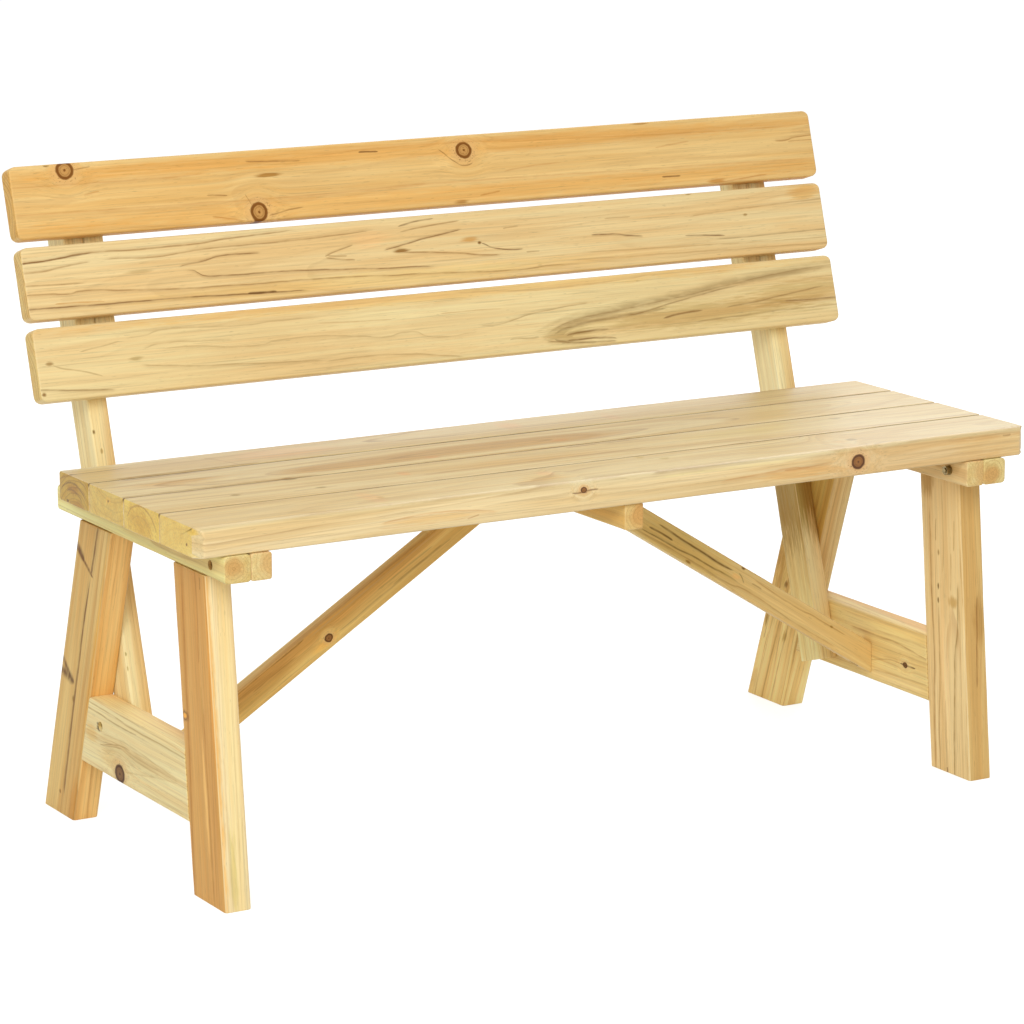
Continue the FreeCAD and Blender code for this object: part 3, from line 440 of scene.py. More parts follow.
        line(2.2, 0.6, 4, BROWN, -458, 19, -430, 21, -390, 19, -350, 22, -300, 24, -220, 24.5, -140, 27, -90,
            29),
        line(2.4, 0.75, 3, CHESTNUT, -358, 2, -346, 8, -330, 9, -318, 11, -305, 14, -285, 14.5, -248, 13),
        line(2.4, 0.72, -4, CHESTNUT, -356, 2, -340, 0, -335, -3, -325, -8, -315, -9.5, -280, -10, -230,
            -10.5, -184, -12.5, -80, -18, -10, -21),
        line(2.2, 0.6, 0, BROWN, -600, -1, -552, -2, -510, -3, -474, -4.5),
        line(2.4, 0.65, -4, BROWN, -600, -12, -552, -12.5, -520, -13.5, -498, -15, -488, -13, -430, -16,
            -400, -18, -300, -22, -184, -23, -80, -27, 40, -32, 100, -34, 140, -32.5, 200, -34.5),
        line(2.6, 0.75, -4, UMBER, -600, -29, -552, -29, -465, -30, -350, -31, -300, -33, -180, -35.5),
        line(3, 0.8, 0, (100, 62, 26), -275, -33, -255, -33, -235, -33.5),
        line(2, 0.6, 0, (202, 142, 64), -520, -25, -490, -25.5, -455, -27),
        line(2.2, 0.6, 3, BROWN, -167, 2, -150, 8, -126, 13.5),
        line(2, 0.5, 0, BROWN, -163, 3, -155, 2, -136, 1.2),
        line(2.2, 0.6, -3, BROWN, -166, 1, -150, -2, -126, -4.5),
        line(2.4, 0.75, 3, CHESTNUT, -88, 2, -85, 4, -62, 8, -45, 11, -30, 14, -20, 15, 0, 18, 25, 21.5),
        line(2.4, 0.7, -3, BROWN, -76, 1, -50, -1.5, -20, -4, 20, -8, 40, -11, 75, -13.5),
        line(2.2, 0.65, 0, UMBER, -64, 31, -40, 35, -12, 37.5),
        line(2.2, 0.6, 0, BROWN, -64, 24, -20, 29, 24, 32.5),
        line(2.2, 0.75, 0, UMBER, 46, 3, 52, 1, 60, -3, 75, -7, 90, -9, 106, -9),
        line(2, 0.55, 0, BROWN, 108, -13, 118, -13, 128, -13),
        line(2, 0.45, 0, BROWN, 80, 17.5, 90, 18.5, 103, 19),
        line(2.4, 0.75, -3, UMBER, 202, 0.5, 235, -1, 260, -5, 280, -6.8),
        line(2.4, 0.75, 0, UMBER, 338, -10.5, 355, -11.5, 370, -12.5, 400, -15.5),
        line(2.2, 0.5, 0, (150, 122, 80), 380, -18, 430, -19, 495, -18, 600, -19),
        line(2.2, 0.5, 4, (176, 132, 76), 345, 12, 380, 15, 420, 17, 470, 19, 600, 22),
        line(2, 0.45, 0, (176, 132, 76), 225, 19, 240, 19, 265, 19),
        line(2, 0.45, -3, (184, 142, 82), 180, -20, 300, -23, 420, -26, 600, -29),
        line(2.2, 0.45, -3, (184, 142, 82), 160, -28, 300, -31, 450, -34, 600, -36),
    ),
    ("back_board_top", Face.WIDE, 1): (
        Knot(-483, 34, 10.6, 10.6), Knot(-244, -32, 10.6, 11.6), Knot(42.5, 23.5, 10.6, 9.8),
        Stain(0, 28, 800, 15, (1, 0.86, 0.66), 0.85), Stain(0, -30, 800, 14, (1, 0.86, 0.66), 0.85),
        Stain(-226, 11, 25, 3.4, (0.56, 0.42, 0.24)), Stain(-505, 41, 5, 3, (0.4, 0.3, 0.16), 0.9),
        Stain(297, 41, 16, 3, (0.6, 0.46, 0.28), 0.9), Stain(30, -40, 13, 4, (0.6, 0.45, 0.28), 0.9),
        Stain(398, -39, 18, 5, (0.74, 0.54, 0.34), 0.9), Stain(12, 12, 24, 10, (1.1, 1.12, 1.16), 0.8),
        line(2, 0.7, 0, HAZEL, -474, 34, -462, 35, -450, 36),
        line(2, 0.45, 0, AMBER, -464, 3, -455, 5, -443, 7),
        line(2.2, 0.65, 3, HAZEL, -254, 28.5, -235, 28, -220, 27, -178, 25),
        line(2.2, 0.65, 0, HAZEL, -309, -8, -297, -8.5, -281, -9.5),
        line(2.2, 0.6, 0, HAZEL, -232, -37, -215, -34, -200, -31.5, -184, -29.5),
        line(2.2, 0.6, 0, HAZEL, -259, -10, -256, -15, -252, -23),
        line(2.4, 0.6, -3, AMBER, -306, -33, -285, -37, -260, -42),
        line(2.4, 0.8, 0, (116, 74, 34), -102, 30, -90, 30, -74, 29.5),
        line(2.2, 0.65, 0, HAZEL, 6, 28, 14, 22, 20, 16, 28, 10, 40, 5, 54, 8.5),
        line(2.4, 0.6, 0, AMBER, 55, -33, 70, -31.5, 86, -29.5),
        line(2, 0.4, 0, AMBER, 92, -7, 130, -2, 180, -0.5),
        line(2.4, 0.75, 0, (116, 74, 34), 318, -28, 333, -28.5, 347, -29),
        line(2, 0.4, 0, AMBER, 314, 9, 340, 12, 368, 14),
        line(2.2, 0.65, 4, (166, 112, 50), 492, 6.2, 510, 6.2, 522, 8.4, 600, 12),
        line(2, 0.55, -3, (166, 112, 50), 512, 4.6, 552, 4, 600, 3.5),
        line(2.2, 0.6, -3, AMBER, 390, -42, 430, -39, 478, -35),
        line(2.6, 0.4, 6, AMBER, -600, 20, -400, 17, -300, 19),
        line(2.6, 0.35, -8, AMBER, -600, -14, -420, -15, -200, -17, 0, -14, 200, -16, 400, -18, 600, -20),
        line(2.4, 0.35, 8, AMBER, -180, 22, 0, 34, 120, 30, 260, 27, 420, 24, 600, 26),
    ),
    ("seat_cleat_left", Face.END, -1): (tint((1.05, 1.2, 1.45)),),
    ("seat_cleat_right", Face.END, -1): (tint((1.05, 1.2, 1.45)),),
    ("seat_cleat_centre", Face.WIDE, -1): (tint((1, 0.9, 0.62)),),
    ("top_rail_left", Face.END, -1): (tint((1.06, 1.07, 1.3)),),
    # Painted light: this tint lifts the rail's -X face out of the shade of the seat's overhang.
    ("top_rail_left", Face.WIDE, -1): (tint((1.15, 1.24, 1.2)),),
    ("top_rail_right", Face.END, -1): (tint((1.06, 1.07, 1.3)),),
    # Painted light: this tint lifts the rail's -X face out of the shade of the seat's overhang.
    ("top_rail_right", Face.WIDE, -1): (tint((1.15, 1.24, 1.2)),),
    ("back_upright_left", Face.EDGE, 1): (
        Stain(44, -10, 4, 2.4, (0.3, 0.24, 0.12)), Stain(21, -3.2, 4, 2, (0.6, 0.5, 0.34), 0.9),
        Stain(-214, -10.5, 3, 2, (0.5, 0.44, 0.24), 0.9), Stain(-231, -11, 4, 1.8, (0.6, 0.5, 0.3), 0.9),
    ),
    # Painted shade: this upright is darkened in the stretch just below the seat, where the seat's shade
    # falls, and lightened again towards its foot.
    ("back_upright_right", Face.WIDE, -1): (
        tint((1, 1.04, 1.12)), Stain(-250, 0, 200, 900, (0.93, 0.8, 0.56)),
        Stain(-130, 0, 95, 900, (0.58, 0.48, 0.31)), Stain(-330, 0, 110, 900, (1.12, 1.22, 1.3)),
    ),
    # Painted shade: the same darkening under the seat on the upright's front face.
    ("back_upright_right", Face.EDGE, 1): (Stain(-105, 0, 105, 900, (0.52, 0.44, 0.25)),),
}


@dataclass(frozen=True)
class Tone:
    """The colours of one piece of wood: pale and warm bands, dark ring lines, the heart, a knot."""

    pale: Triple
    warm: Triple
    line: Triple
    heart: Triple
    knot: Triple = (200, 148, 80)
    rim: Triple = (122, 70, 12)
    halo: Triple = (232, 184, 118)


@dataclass(frozen=True)
class Growth:
    """How a piece was sawn out of its tree.

    The pith lies at pith from the middle of the section and drifts by so much for each millimetre
    along the piece. Rings are spacing apart, swirl bends them, and the darker heart reaches out to
    heart from the pith. The ring lines show by contrast on the faces and by ends on the sawn ends.
    streak is the strength of the streaks along the grain, and the next strength that of the painted shade
    darkening the arrises beside the gaps between planks.
    """

    pith: tuple[float, float]
    drift: tuple[float, float] = (0.0, 0.0)
    spacing: float = 6.0
    swirl: float = 10.0
    heart: float = 0.0
    contrast: float = 0.42
    streak: float = 0.45
    seam: float = 0.0
    ends: float = 0.7


@dataclass(frozen=True)
class EndCut:
    """A sawn end: how far from the middle it is on the axis, and its slope across the width."""

    reach: float
    slope: float = 0.0


@dataclass(frozen=True)
class Timber:
    """One straight piece of wood, in its own frame.

    along and across are unit vectors; the third, out, completes a right-handed set, and the
    thickness lies on it. radii are the four long arrises, from the one between the positive faces
    round by the positive thickness side, and wear is how much rounder they get in places. corner
    rounds the ends across the width.
    """

    name: str
    slot: Slot
    middle: Triple
    along: Triple
    across: Triple
    width: float
    thickness: float
    start: tuple[EndCut, ...]
    finish: tuple[EndCut, ...]
    radii: tuple[float, float, float, float]
    end_arris: float
    drilled_by: tuple[str, ...] = ()
    corner: float = 0.0
    wear: float = 0.25
    seed: int = 0

    @property
    def axes(self) -> np.ndarray:
        """The rows along, across and out."""
        along, across = np.array(self.along), np.array(self.across)
        return np.array([along, across, np.cross(along, across)])


def smooth_noise(rng: np.random.Generator, where: np.ndarray, reach: float) -> np.ndarray:
    """Give a smooth random curve from 0 to 1: values at even knots, joined by half cosines.

    Args:
        rng: The source of the values at the knots.
        where: Places along the curve.
        reach: The distance between two knots.

    Returns:
        The curve's height at each place.
    """
    first = float(where.min())
    count = int((float(where.max()) - first) / reach) + 3
    heights = rng.random(count)
    steps = (where - first) / reach
    low = np.floor(steps).astype(int)
    blend = 0.5 - 0.5 * np.cos(math.pi * (steps - low))
    return heights[low] * (1 - blend) + heights[low + 1] * blend


def rounding(distance: np.ndarray, radius: float) -> np.ndarray:
    """Tell how far a quarter-round edge lies inside its face: r - sqrt(r^2 - (r - d)^2).

    Args:
        distance: Distance d from the end of the piece.
        radius: Radius r of the edge.

    Returns:
        The inset at each distance, and nothing beyond the radius.
    """
    short = np.clip(radius - distance, 0, radius)
    return radius - np.sqrt(radius**2 - short**2)


def joined(rings: list[np.ndarray], first: int, last: int) -> tuple[np.ndarray, np.ndarray]:
    """Join rings of points, each to the next, and close both ends round a middle point.

    Args:
        rings: The numbers of each ring's points.
        first: The number of the point in the middle of the first ring.
        last: The number of the point in the middle of the last ring.

    Returns:
        The four-sided faces and the triangles.
    """
    nexts = [np.roll(ring, -1) for ring in rings]
    quads = [np.column_stack([low, low_next, high_next, high])
             for low, low_next, high_next, high in zip(rings, nexts, nexts[1:], rings[1:])]
    fans = [np.column_stack([nexts[0], rings[0], np.full(len(rings[0]), first)]),
            np.column_stack([rings[-1], nexts[-1], np.full(len(rings[-1]), last)])]
    return np.vstack(quads), np.vstack(fans)


class TimberSurface:
    """Works out the closed surface of one timber on a grid of stations and ring points."""

    STATION_GAP = 6.0
    FACE_GAP = 9.0
    ARC_STEPS = 4
    END_STEPS = 4
    CAP_RINGS = 5
    HOLLOW = 0.18
    WEAR_REACH = 35.0
    HOLLOW_REACH = 120.0
    CREASE_EASE = 3.0
    ROUNDEST = 0.95

    def __init__(self, timber: Timber) -> None:
        """Keep the timber and start its own random source."""
        self.timber = timber
        self.rng = np.random.default_rng(timber.seed)

    def stations(self) -> tuple[np.ndarray, np.ndarray, np.ndarray, np.ndarray]:
        """Place the stations: close together on the rounded ends, even in between.

        Returns:
            For each station its offset from the start, its offset from the finish, the share of
            the way between those two places, and its distance from the nearer end.
        """
        timber = self.timber
        turn = np.linspace(0, math.pi / 2, self.END_STEPS + 1)
        offsets = [radius * (1 - np.cos(turn)) for radius in (timber.end_arris, timber.corner) if radius]
        ends = np.unique(np.round(np.concatenate(offsets), 4))
        margin = ends[-1] + self.STATION_GAP / 2
        span = sum(min(cut.reach for cut in cuts) for cuts in (timber.start, timber.finish)) - 2 * margin
        share = np.linspace(0, 1, max(2, math.ceil(span / self.STATION_GAP)))
        still = np.zeros(len(ends))
        inner = np.full(len(share), margin)
        return (
            np.concatenate([ends, inner, still]),
            np.concatenate([still, inner, ends[::-1]]),
            np.concatenate([still, share, still + 1]),
            np.concatenate([ends, inner, ends[::-1]]),
        )

    def section(self, length: np.ndarray, gap: np.ndarray) -> tuple[np.ndarray, np.ndarray]:
        """Draw the worn, rounded rectangle at each station.

        The corner of each quadrant is an arc round (half width - r, half thickness - r); the radius
        r follows a smooth random curve. Straight faces join the arcs, and each face is hollowed by a
        smooth curve of its own.

        Args:
            length: Place of each station along the piece.
            gap: Distance of each station from the nearer end.

        Returns:
            Places across the width and the thickness, as stations by ring points.
        """
        timber = self.timber
        inset_w = rounding(gap, timber.end_arris) if not timber.corner else rounding(gap, timber.corner)
        inset_t = rounding(gap, timber.end_arris)
        hollows = [self.HOLLOW * smooth_noise(self.rng, length, self.HOLLOW_REACH) for _ in range(4)]
        sides_w = [timber.width / 2 - inset_w - hollows[k] for k in (0, 1)]
        sides_t = [timber.thickness / 2 - inset_t - hollows[k] for k in (2, 3)]
        signs = ((1, 1), (-1, 1), (-1, -1), (1, -1))
        turn = np.linspace(0, math.pi / 2, self.ARC_STEPS + 1)
        arcs = []
        for k, ((sign_w, sign_t), radius) in enumerate(zip(signs, timber.radii)):
            worn = smooth_noise(self.rng, length, self.WEAR_REACH)
            reach = radius * (1 + timber.wear * worn)
            half_w, half_t = sides_w[sign_w < 0], sides_t[sign_t < 0]
            reach = np.minimum(reach, np.minimum(half_w, half_t) * self.ROUNDEST)[:, None]
            angle = turn + k * math.pi / 2
            arcs.append((
                sign_w * (half_w[:, None] - reach) + reach * np.cos(angle),
                sign_t * (half_t[:, None] - reach) + reach * np.sin(angle),
            ))
        spans = (timber.width, timber.thickness) * 2
        across, out = [], []
        for k, (arc_w, arc_t) in enumerate(arcs):
            next_w, next_t = arcs[(k + 1) % 4]
            share = np.linspace(0, 1, max(2, round(spans[k] / self.FACE_GAP)) + 1)[1:-1]
            share = np.repeat(share[None], len(length), axis=0)
            first, last = arc_w[:, -1:], next_w[:, :1]
            for crease in self.creases() if k % 2 == 0 else []:
                column = int(np.argmin(abs(first[0] * (1 - share[0]) + last[0] * share[0] - crease)))
                share[:, column] = ((crease - first) / (last - first))[:, 0]
            across += [arc_w, first * (1 - share) + last * share]
            out += [arc_t, arc_t[:, -1:] * (1 - share) + next_t[:, :1] * share]
        return np.hstack(across), np.hstack(out)

    def creases(self) -> list[float]:
        """Find where two cuts of one end meet, as places across the wide faces clear of the arrises."""
        timber = self.timber
        free = timber.width / 2 - (1 + timber.wear) * max(timber.radii) + self.CREASE_EASE
        places = []
        for cuts, sign in ((timber.start, 1), (timber.finish, -1)):
            for one, other in zip(cuts, cuts[1:]):
                places.append(sign * (one.reach - other.reach) / (one.slope - other.slope))
        return sorted({round(place, 3) for place in places if abs(place) < free})

    def ends(self, across: np.ndarray) -> tuple[np.ndarray, np.ndarray]:
        """Tell where the piece starts and finishes at each place across its width.

        Args:
            across: Places across the width.

        Returns:
            The start and the finish: minus or plus the cut's reach, plus its slope times the place.
        """
        first = np.max([-cut.reach + cut.slope * across for cut in self.timber.start], axis=0)
        last = np.min([cut.reach + cut.slope * across for cut in self.timber.finish], axis=0)
        return first, last

    def cap(self, ring: np.ndarray, last: bool) -> np.ndarray:
        """Fill an end with rings that shrink evenly to its middle, in the end's own plane.

        Args:
            ring: The last ring of the side, as points of the local frame.
            last: Whether this is the finish rather than the start.

        Returns:
            The points of the inner rings and, after them, of the middle.
        """
        centre = ring[:, 1:].mean(axis=0)
        shares = np.linspace(1, 0, self.CAP_RINGS + 1)[1:, None, None]
        flat = centre + (ring[None, :, 1:] - centre) * shares
        flat = np.vstack([flat[:-1].reshape(-1, 2), centre[None]])
        return np.column_stack([self.ends(flat[:, 0])[int(last)], flat])

    def build(self) -> tuple[np.ndarray, np.ndarray, np.ndarray]:
        """Put sides and caps together.

        Returns:
            The points in millimetres, the four-sided faces and the triangles at the middles.
        """
        from_start, from_finish, share, gap = self.stations()
        nominal = (from_start - self.timber.start[0].reach) * (1 - share)
        nominal = nominal + (self.timber.finish[0].reach - from_finish) * share
        across, out = self.section(nominal, gap)
        first, last = self.ends(across)
        share = share[:, None]
        length = (first + from_start[:, None]) * (1 - share) + (last - from_finish[:, None]) * share
        rows, ring = across.shape
        sides = np.stack([length, across, out], axis=-1)
        start, finish = self.cap(sides[0], False), self.cap(sides[-1], True)
        points = np.vstack([sides.reshape(-1, 3), start, finish])

        here = np.arange(ring)
        starts = [(rows + k) * ring + here for k in range(self.CAP_RINGS - 1)]
        finishes = [ids + len(start) for ids in starts]
        chain = starts[::-1] + [k * ring + here for k in range(rows)] + finishes
        turned = points @ self.timber.axes + np.array(self.timber.middle)
        return turned, *joined(chain, rows * ring + len(start) - 1, len(points) - 1)


def fill_mesh(name: str, points: np.ndarray, quads: np.ndarray, fans: np.ndarray) -> bpy.types.Mesh:
    """Fill a mesh from arrays of points in millimetres, four-sided faces and triangles.

    Args:
        name: The mesh's name.
        points: Points in millimetres.
        quads: Faces of four points.
        fans: Faces of three points.

    Returns:
        The mesh, in metres.
    """
    mesh = bpy.data.meshes.new(name)
    corners = np.concatenate([quads.ravel(), fans.ravel()]).astype(np.int32)
    sizes = np.concatenate([np.full(len(quads), 4), np.full(len(fans), 3)])
    mesh.vertices.add(len(points))
    mesh.vertices.foreach_set("co", (points * MM).astype(np.float32).ravel())
    mesh.loops.add(len(corners))
    mesh.loops.foreach_set("vertex_index", corners)
    mesh.polygons.add(len(sizes))
    mesh.polygons.foreach_set("loop_start", np.concatenate([[0], np.cumsum(sizes)[:-1]]).astype(np.int32))
    mesh.update(calc_edges=True)
    mesh.validate()
    return mesh


@dataclass(frozen=True)
class Drill:
    """The hole of a fastener, as radii at distances from the top of its head, with clearance.

    skew is a direction that no fastener has, from which the first side of the hole is found.
    """

    profile: tuple[tuple[float, float], ...]
    overrun: float = 15.0
    clearance: float = 0.2
    steps: int = 32
    skew: Triple = (0.31, 0.95, 0.07)

    def tool(self, top: np.ndarray, inward: np.ndarray, length: float) -> tuple[np.ndarray, ...]:
        """Turn the profile about the fastener's axis: radius at each depth, round the full circle.

        Args:
            top: The middle of the head's top.
            inward: Unit vector into the wood.
            length: The fastener's length, where the profile's last depth ends.

        Returns:
            Points, four-sided faces and triangles of the closed tool.
        """
        depths = np.array([-self.overrun] + [depth for depth, _ in self.profile] + [length + self.clearance])
        radii = np.array([self.profile[0][1]] + [radius for _, radius in self.profile]
                         + [self.profile[-1][1]]) + self.clearance
        side = np.cross(inward, np.array(self.skew))
        side /= np.linalg.norm(side)
        other = np.cross(inward, side)
        here = np.arange(self.steps)
        angle = here * 2 * math.pi / self.steps
        circle = np.cos(angle)[:, None] * side + np.sin(angle)[:, None] * other
        rings = top + depths[:, None, None] * inward + radii[:, None, None] * circle
        poles = top + np.array([depths[0], depths[-1]])[:, None] * inward
        chain = [k * self.steps + here for k in range(len(depths))]
        count = len(depths) * self.steps
        return np.vstack([rings.reshape(-1, 3), poles]), *joined(chain, count, count + 1)


PLAIN_SCREW = Drill(((0.0, 4.5), (2.25, 2.25)))
HEAVY_SCREW = Drill(((0.0, 5.5), (2.5, 3.0)))
FRAME_BOLT = Drill(((0.0, 5.3), (6.0, 5.3), (6.01, 3.0)))


@dataclass
class Fasteners:
    """The screws and bolts, which stay as the frame has them, and the holes that they need."""

    drills: dict[str, Drill] = field(default_factory=lambda: {
        **dict.fromkeys((f"{word}_screws" for word in (
            "seat", "cleat", "upright", "leg", "stretcher", "board", "batten", "brace_head",
            "brace_foot")), PLAIN_SCREW),
        "leg_screws": HEAVY_SCREW,
        "frame_bolts": FRAME_BOLT,
    })
    loose: tuple[str, ...] = ("frame_washers", "frame_nuts")
    weld: float = 0.01
    rim: float = 0.5

    def solids(self, node: str) -> list[np.ndarray]:
        """Split a node's mesh into its solids, by spreading the lowest number along shared edges.

        Args:
            node: Name of the frame's node.

        Returns:
            The points of each solid, in millimetres.
        """
        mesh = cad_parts[node].data
        points = np.zeros(len(mesh.vertices) * 3, np.float32)
        mesh.vertices.foreach_get("co", points)
        points = points.reshape(-1, 3).astype(float) / MM
        edges = np.zeros(len(mesh.edges) * 2, np.int32)
        mesh.edges.foreach_get("vertices", edges)
        keys = np.round(points / self.weld).astype(np.int64)
        _, same = np.unique(keys, axis=0, return_inverse=True)
        pairs = same.ravel()[edges.reshape(-1, 2)]
        label = np.arange(pairs.max() + 1)
        while True:
            lowest = label[pairs].min(axis=1)
            spread = label.copy()
            np.minimum.at(spread, pairs[:, 0], lowest)
            np.minimum.at(spread, pairs[:, 1], lowest)
            if np.array_equal(spread, label):
                break
            label = spread
        owner = label[same.ravel()]
        return [points[owner == number] for number in np.unique(owner)]

    def tools(self, node: str) -> list[tuple[np.ndarray, ...]]:
        """Make the drilling tool of each fastener of a node.

        The axis is the solid's longest principal direction, and the head is at its wider end.

        Args:
            node: Name of the frame's node.

        Returns:
            Points, four-sided faces and triangles of each tool.
        """
        made = []
        for points in self.solids(node):
            centre = (points.max(axis=0) + points.min(axis=0)) / 2
            axis = np.linalg.svd(points - points.mean(axis=0), full_matrices=False)[2][0]
            reach = (points - centre) @ axis
            off_axis = np.linalg.norm(points - centre - reach[:, None] * axis, axis=1)
            low_end, high_end = reach < reach.min() + self.rim, reach > reach.max() - self.rim
            if off_axis[low_end].max() > off_axis[high_end].max():
                axis, reach = -axis, -reach
            top_ring = points[reach > reach.max() - self.rim]
            top = (top_ring.max(axis=0) + top_ring.min(axis=0)) / 2
            made.append(self.drills[node].tool(top, -axis, float(np.ptp(reach))))
        return made

    def dress(self) -> None:
        """Give the fasteners their steel."""
        for node in self.drills:
            steel = ZincSteel(f"{node}_steel", bolt=node == "frame_bolts")
            slot = Slot.BOLT if node == "frame_bolts" else Slot.SCREW
            self.finish(node, steel, slot)
        for node in self.loose:
            self.finish(node, ZincSteel(f"{node}_steel", bolt=True), Slot.BOLT)

    def finish(self, node: str, steel: "ZincSteel", slot: Slot) -> None:
        """Put one steel on one node of the frame."""
        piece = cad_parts[node]
        piece.data.materials.clear()
        piece.data.materials.append(steel.build())
        log.info("%s dressed in %s", node, slot.value)


@dataclass(frozen=True)
class Grain:
    """A noise drawn out along the wood: its clouds' length and width in millimetres, and its detail."""

    length: float
    width: float
    detail: float = 2.0
    rough: float = 0.5


class Graph:
    """Adds nodes to one tree and joins them."""

    def __init__(self, tree: bpy.types.NodeTree) -> None:
        """Keep the tree."""
        self.tree = tree

    def feed(self, socket: Socket, value: object) -> None:
        """Join a socket to another, or set its own value.

        Args:
            socket: The input.
            value: Another node's output, or a constant.
        """
        if isinstance(value, Socket):
            self.tree.links.new(value, socket)
        elif value is not None:
            socket.default_value = value

    def node(self, kind: str, inputs: dict, **settings: object) -> bpy.types.Node:
        """Add a node.

        Args:
            kind: Blender's name of the node.
            inputs: Values or outputs for its inputs, by name or number.
            **settings: The node's own settings.

        Returns:
            The node.
        """
        made = self.tree.nodes.new(kind)
        for name, value in settings.items():
            setattr(made, name, value)
        for name, value in inputs.items():
            self.feed(made.inputs[name], value)
        return made

    def math(self, operation: str, a: object, b: object = None, c: object = None) -> Socket:
        """Add a Math node and give its output."""
        return self.node("ShaderNodeMath", {0: a, 1: b, 2: c}, operation=operation).outputs[0]

    def times(self, a: object, b: object) -> Socket:
        """Multiply two numbers."""
        return self.math("MULTIPLY", a, b)

    def linear(self, value: object, slope: object, start: object) -> Socket:
        """Multiply a number by a slope and add a start to it."""
        return self.math("MULTIPLY_ADD", value, slope, start)

    def rest(self, value: object) -> Socket:
        """Give what a number lacks to make one."""
        return self.math("SUBTRACT", 1.0, value)

    def vector(self, operation: str, a: object, b: object = None, out: int = 0) -> Socket:
        """Add a Vector Math node and give one of its outputs."""
        return self.node("ShaderNodeVectorMath", {0: a, 1: b}, operation=operation).outputs[out]

    def scaled(self, vector: object, amount: object) -> Socket:
        """Scale a vector by one number."""
        return self.node("ShaderNodeVectorMath", {0: vector, "Scale": amount}, operation="SCALE").outputs[0]

    def noise(self, place: object, detail: float = 2.0, rough: float = 0.5, colour: bool = False) -> Socket:
        """Add a noise whose size is set by its place alone."""
        inputs = {"Vector": place, "Scale": 1.0, "Detail": detail, "Roughness": rough}
        return self.node("ShaderNodeTexNoise", inputs).outputs["Color" if colour else "Fac"]

    def grain(self, place: object, grain: Grain, colour: bool = False) -> Socket:
        """Add a noise drawn out along the wood."""
        scale = (1 / grain.length, 1 / grain.width, 1 / grain.width)
        return self.noise(self.vector("MULTIPLY", place, scale), grain.detail, grain.rough, colour)

    def band(self, value: object, low: object, high: object) -> Socket:
        """Rise smoothly from 0 at low to 1 at high."""
        inputs = {"Value": value, "From Min": low, "From Max": high}
        return self.node("ShaderNodeMapRange", inputs, interpolation_type="SMOOTHSTEP").outputs["Result"]

    def ramp(self, value: object, stops: tuple[tuple[float, float], ...]) -> Socket:
        """Run a value through straight stretches between stops.

        Args:
            value: The value from 0 to 1.
            stops: Places and the grey value at each.

        Returns:
            The grey value.
        """
        made = self.node("ShaderNodeValToRGB", {"Fac": value})
        elements = made.color_ramp.elements
        for _ in range(len(stops) - len(elements)):
            elements.new(0.5)
        for element, (place, _) in zip(elements, stops):
            element.position = place
        for element, (_, grey) in zip(elements, stops):
            element.color = (grey, grey, grey, 1.0)
        return made.outputs["Color"]

    def mix(self, share: object, a: object, b: object, blend: str = "MIX") -> Socket:
        """Mix two colours."""
        made = self.node("ShaderNodeMix", {0: share, 6: a, 7: b}, data_type="RGBA", blend_type=blend)
        return made.outputs[2]

    def combine(self, x: object, y: object, z: object) -> Socket:
        """Join three numbers into a vector."""
        return self.node("ShaderNodeCombineXYZ", {0: x, 1: y, 2: z}).outputs[0]

    def parts(self, vector: object) -> tuple[Socket, Socket, Socket]:
        """Split a vector into its numbers."""
        return tuple(self.node("ShaderNodeSeparateXYZ", {0: vector}).outputs)

    def group(self, name: str, inputs: dict) -> bpy.types.Node:
        """Use a node group."""
        made = self.tree.nodes.new("ShaderNodeGroup")
        made.node_tree = bpy.data.node_groups[name]
        for key, value in inputs.items():
            self.feed(made.inputs[key], value)
        return made


def new_group(name: str, inputs: dict[str, str], outputs: dict[str, str]) -> tuple[Graph, object, object]:
    """Start a node group.

    Args:
        name: The group's name.
        inputs: The names of the inputs of each kind.
        outputs: The names of the outputs of each kind.

    Returns:
        The group's graph, its inputs inside the group and its outputs inside the group.
    """
    tree = bpy.data.node_groups.new(name, "ShaderNodeTree")
    for direction, sockets in (("INPUT", inputs), ("OUTPUT", outputs)):
        for kind, labels in sockets.items():
            for label in labels.split():
                tree.interface.new_socket(label, in_out=direction, socket_type=f"NodeSocket{kind}")
    source = tree.nodes.new("NodeGroupInput").outputs
    sink = tree.nodes.new("NodeGroupOutput").inputs
    return Graph(tree), source, sink


class Facing:
    """Tells which face of a timber a point is on, by the way that the surface looks there."""

    BAND = (0.72, 0.92)

    def __init__(self, graph: Graph, normal: Socket, axes: np.ndarray) -> None:
        """Keep the surface's direction along each of the timber's axes."""
        self.graph = graph
        self.shares = [graph.vector("DOT_PRODUCT", normal, tuple(axis), out=1) for axis in axes.tolist()]
        self.made: dict[tuple[Face, int], Socket] = {}

    def mask(self, face: Face, side: int) -> Socket:
        """Give 1 on one face, or with side 0 on it and its opposite, fading round the arrises."""
        if (face, side) not in self.made:
            share = self.shares[face.value[2]]
            toward = self.graph.times(share, side) if side else self.graph.math("ABSOLUTE", share)
            self.made[face, side] = self.graph.band(toward, *self.BAND)
        return self.made[face, side]


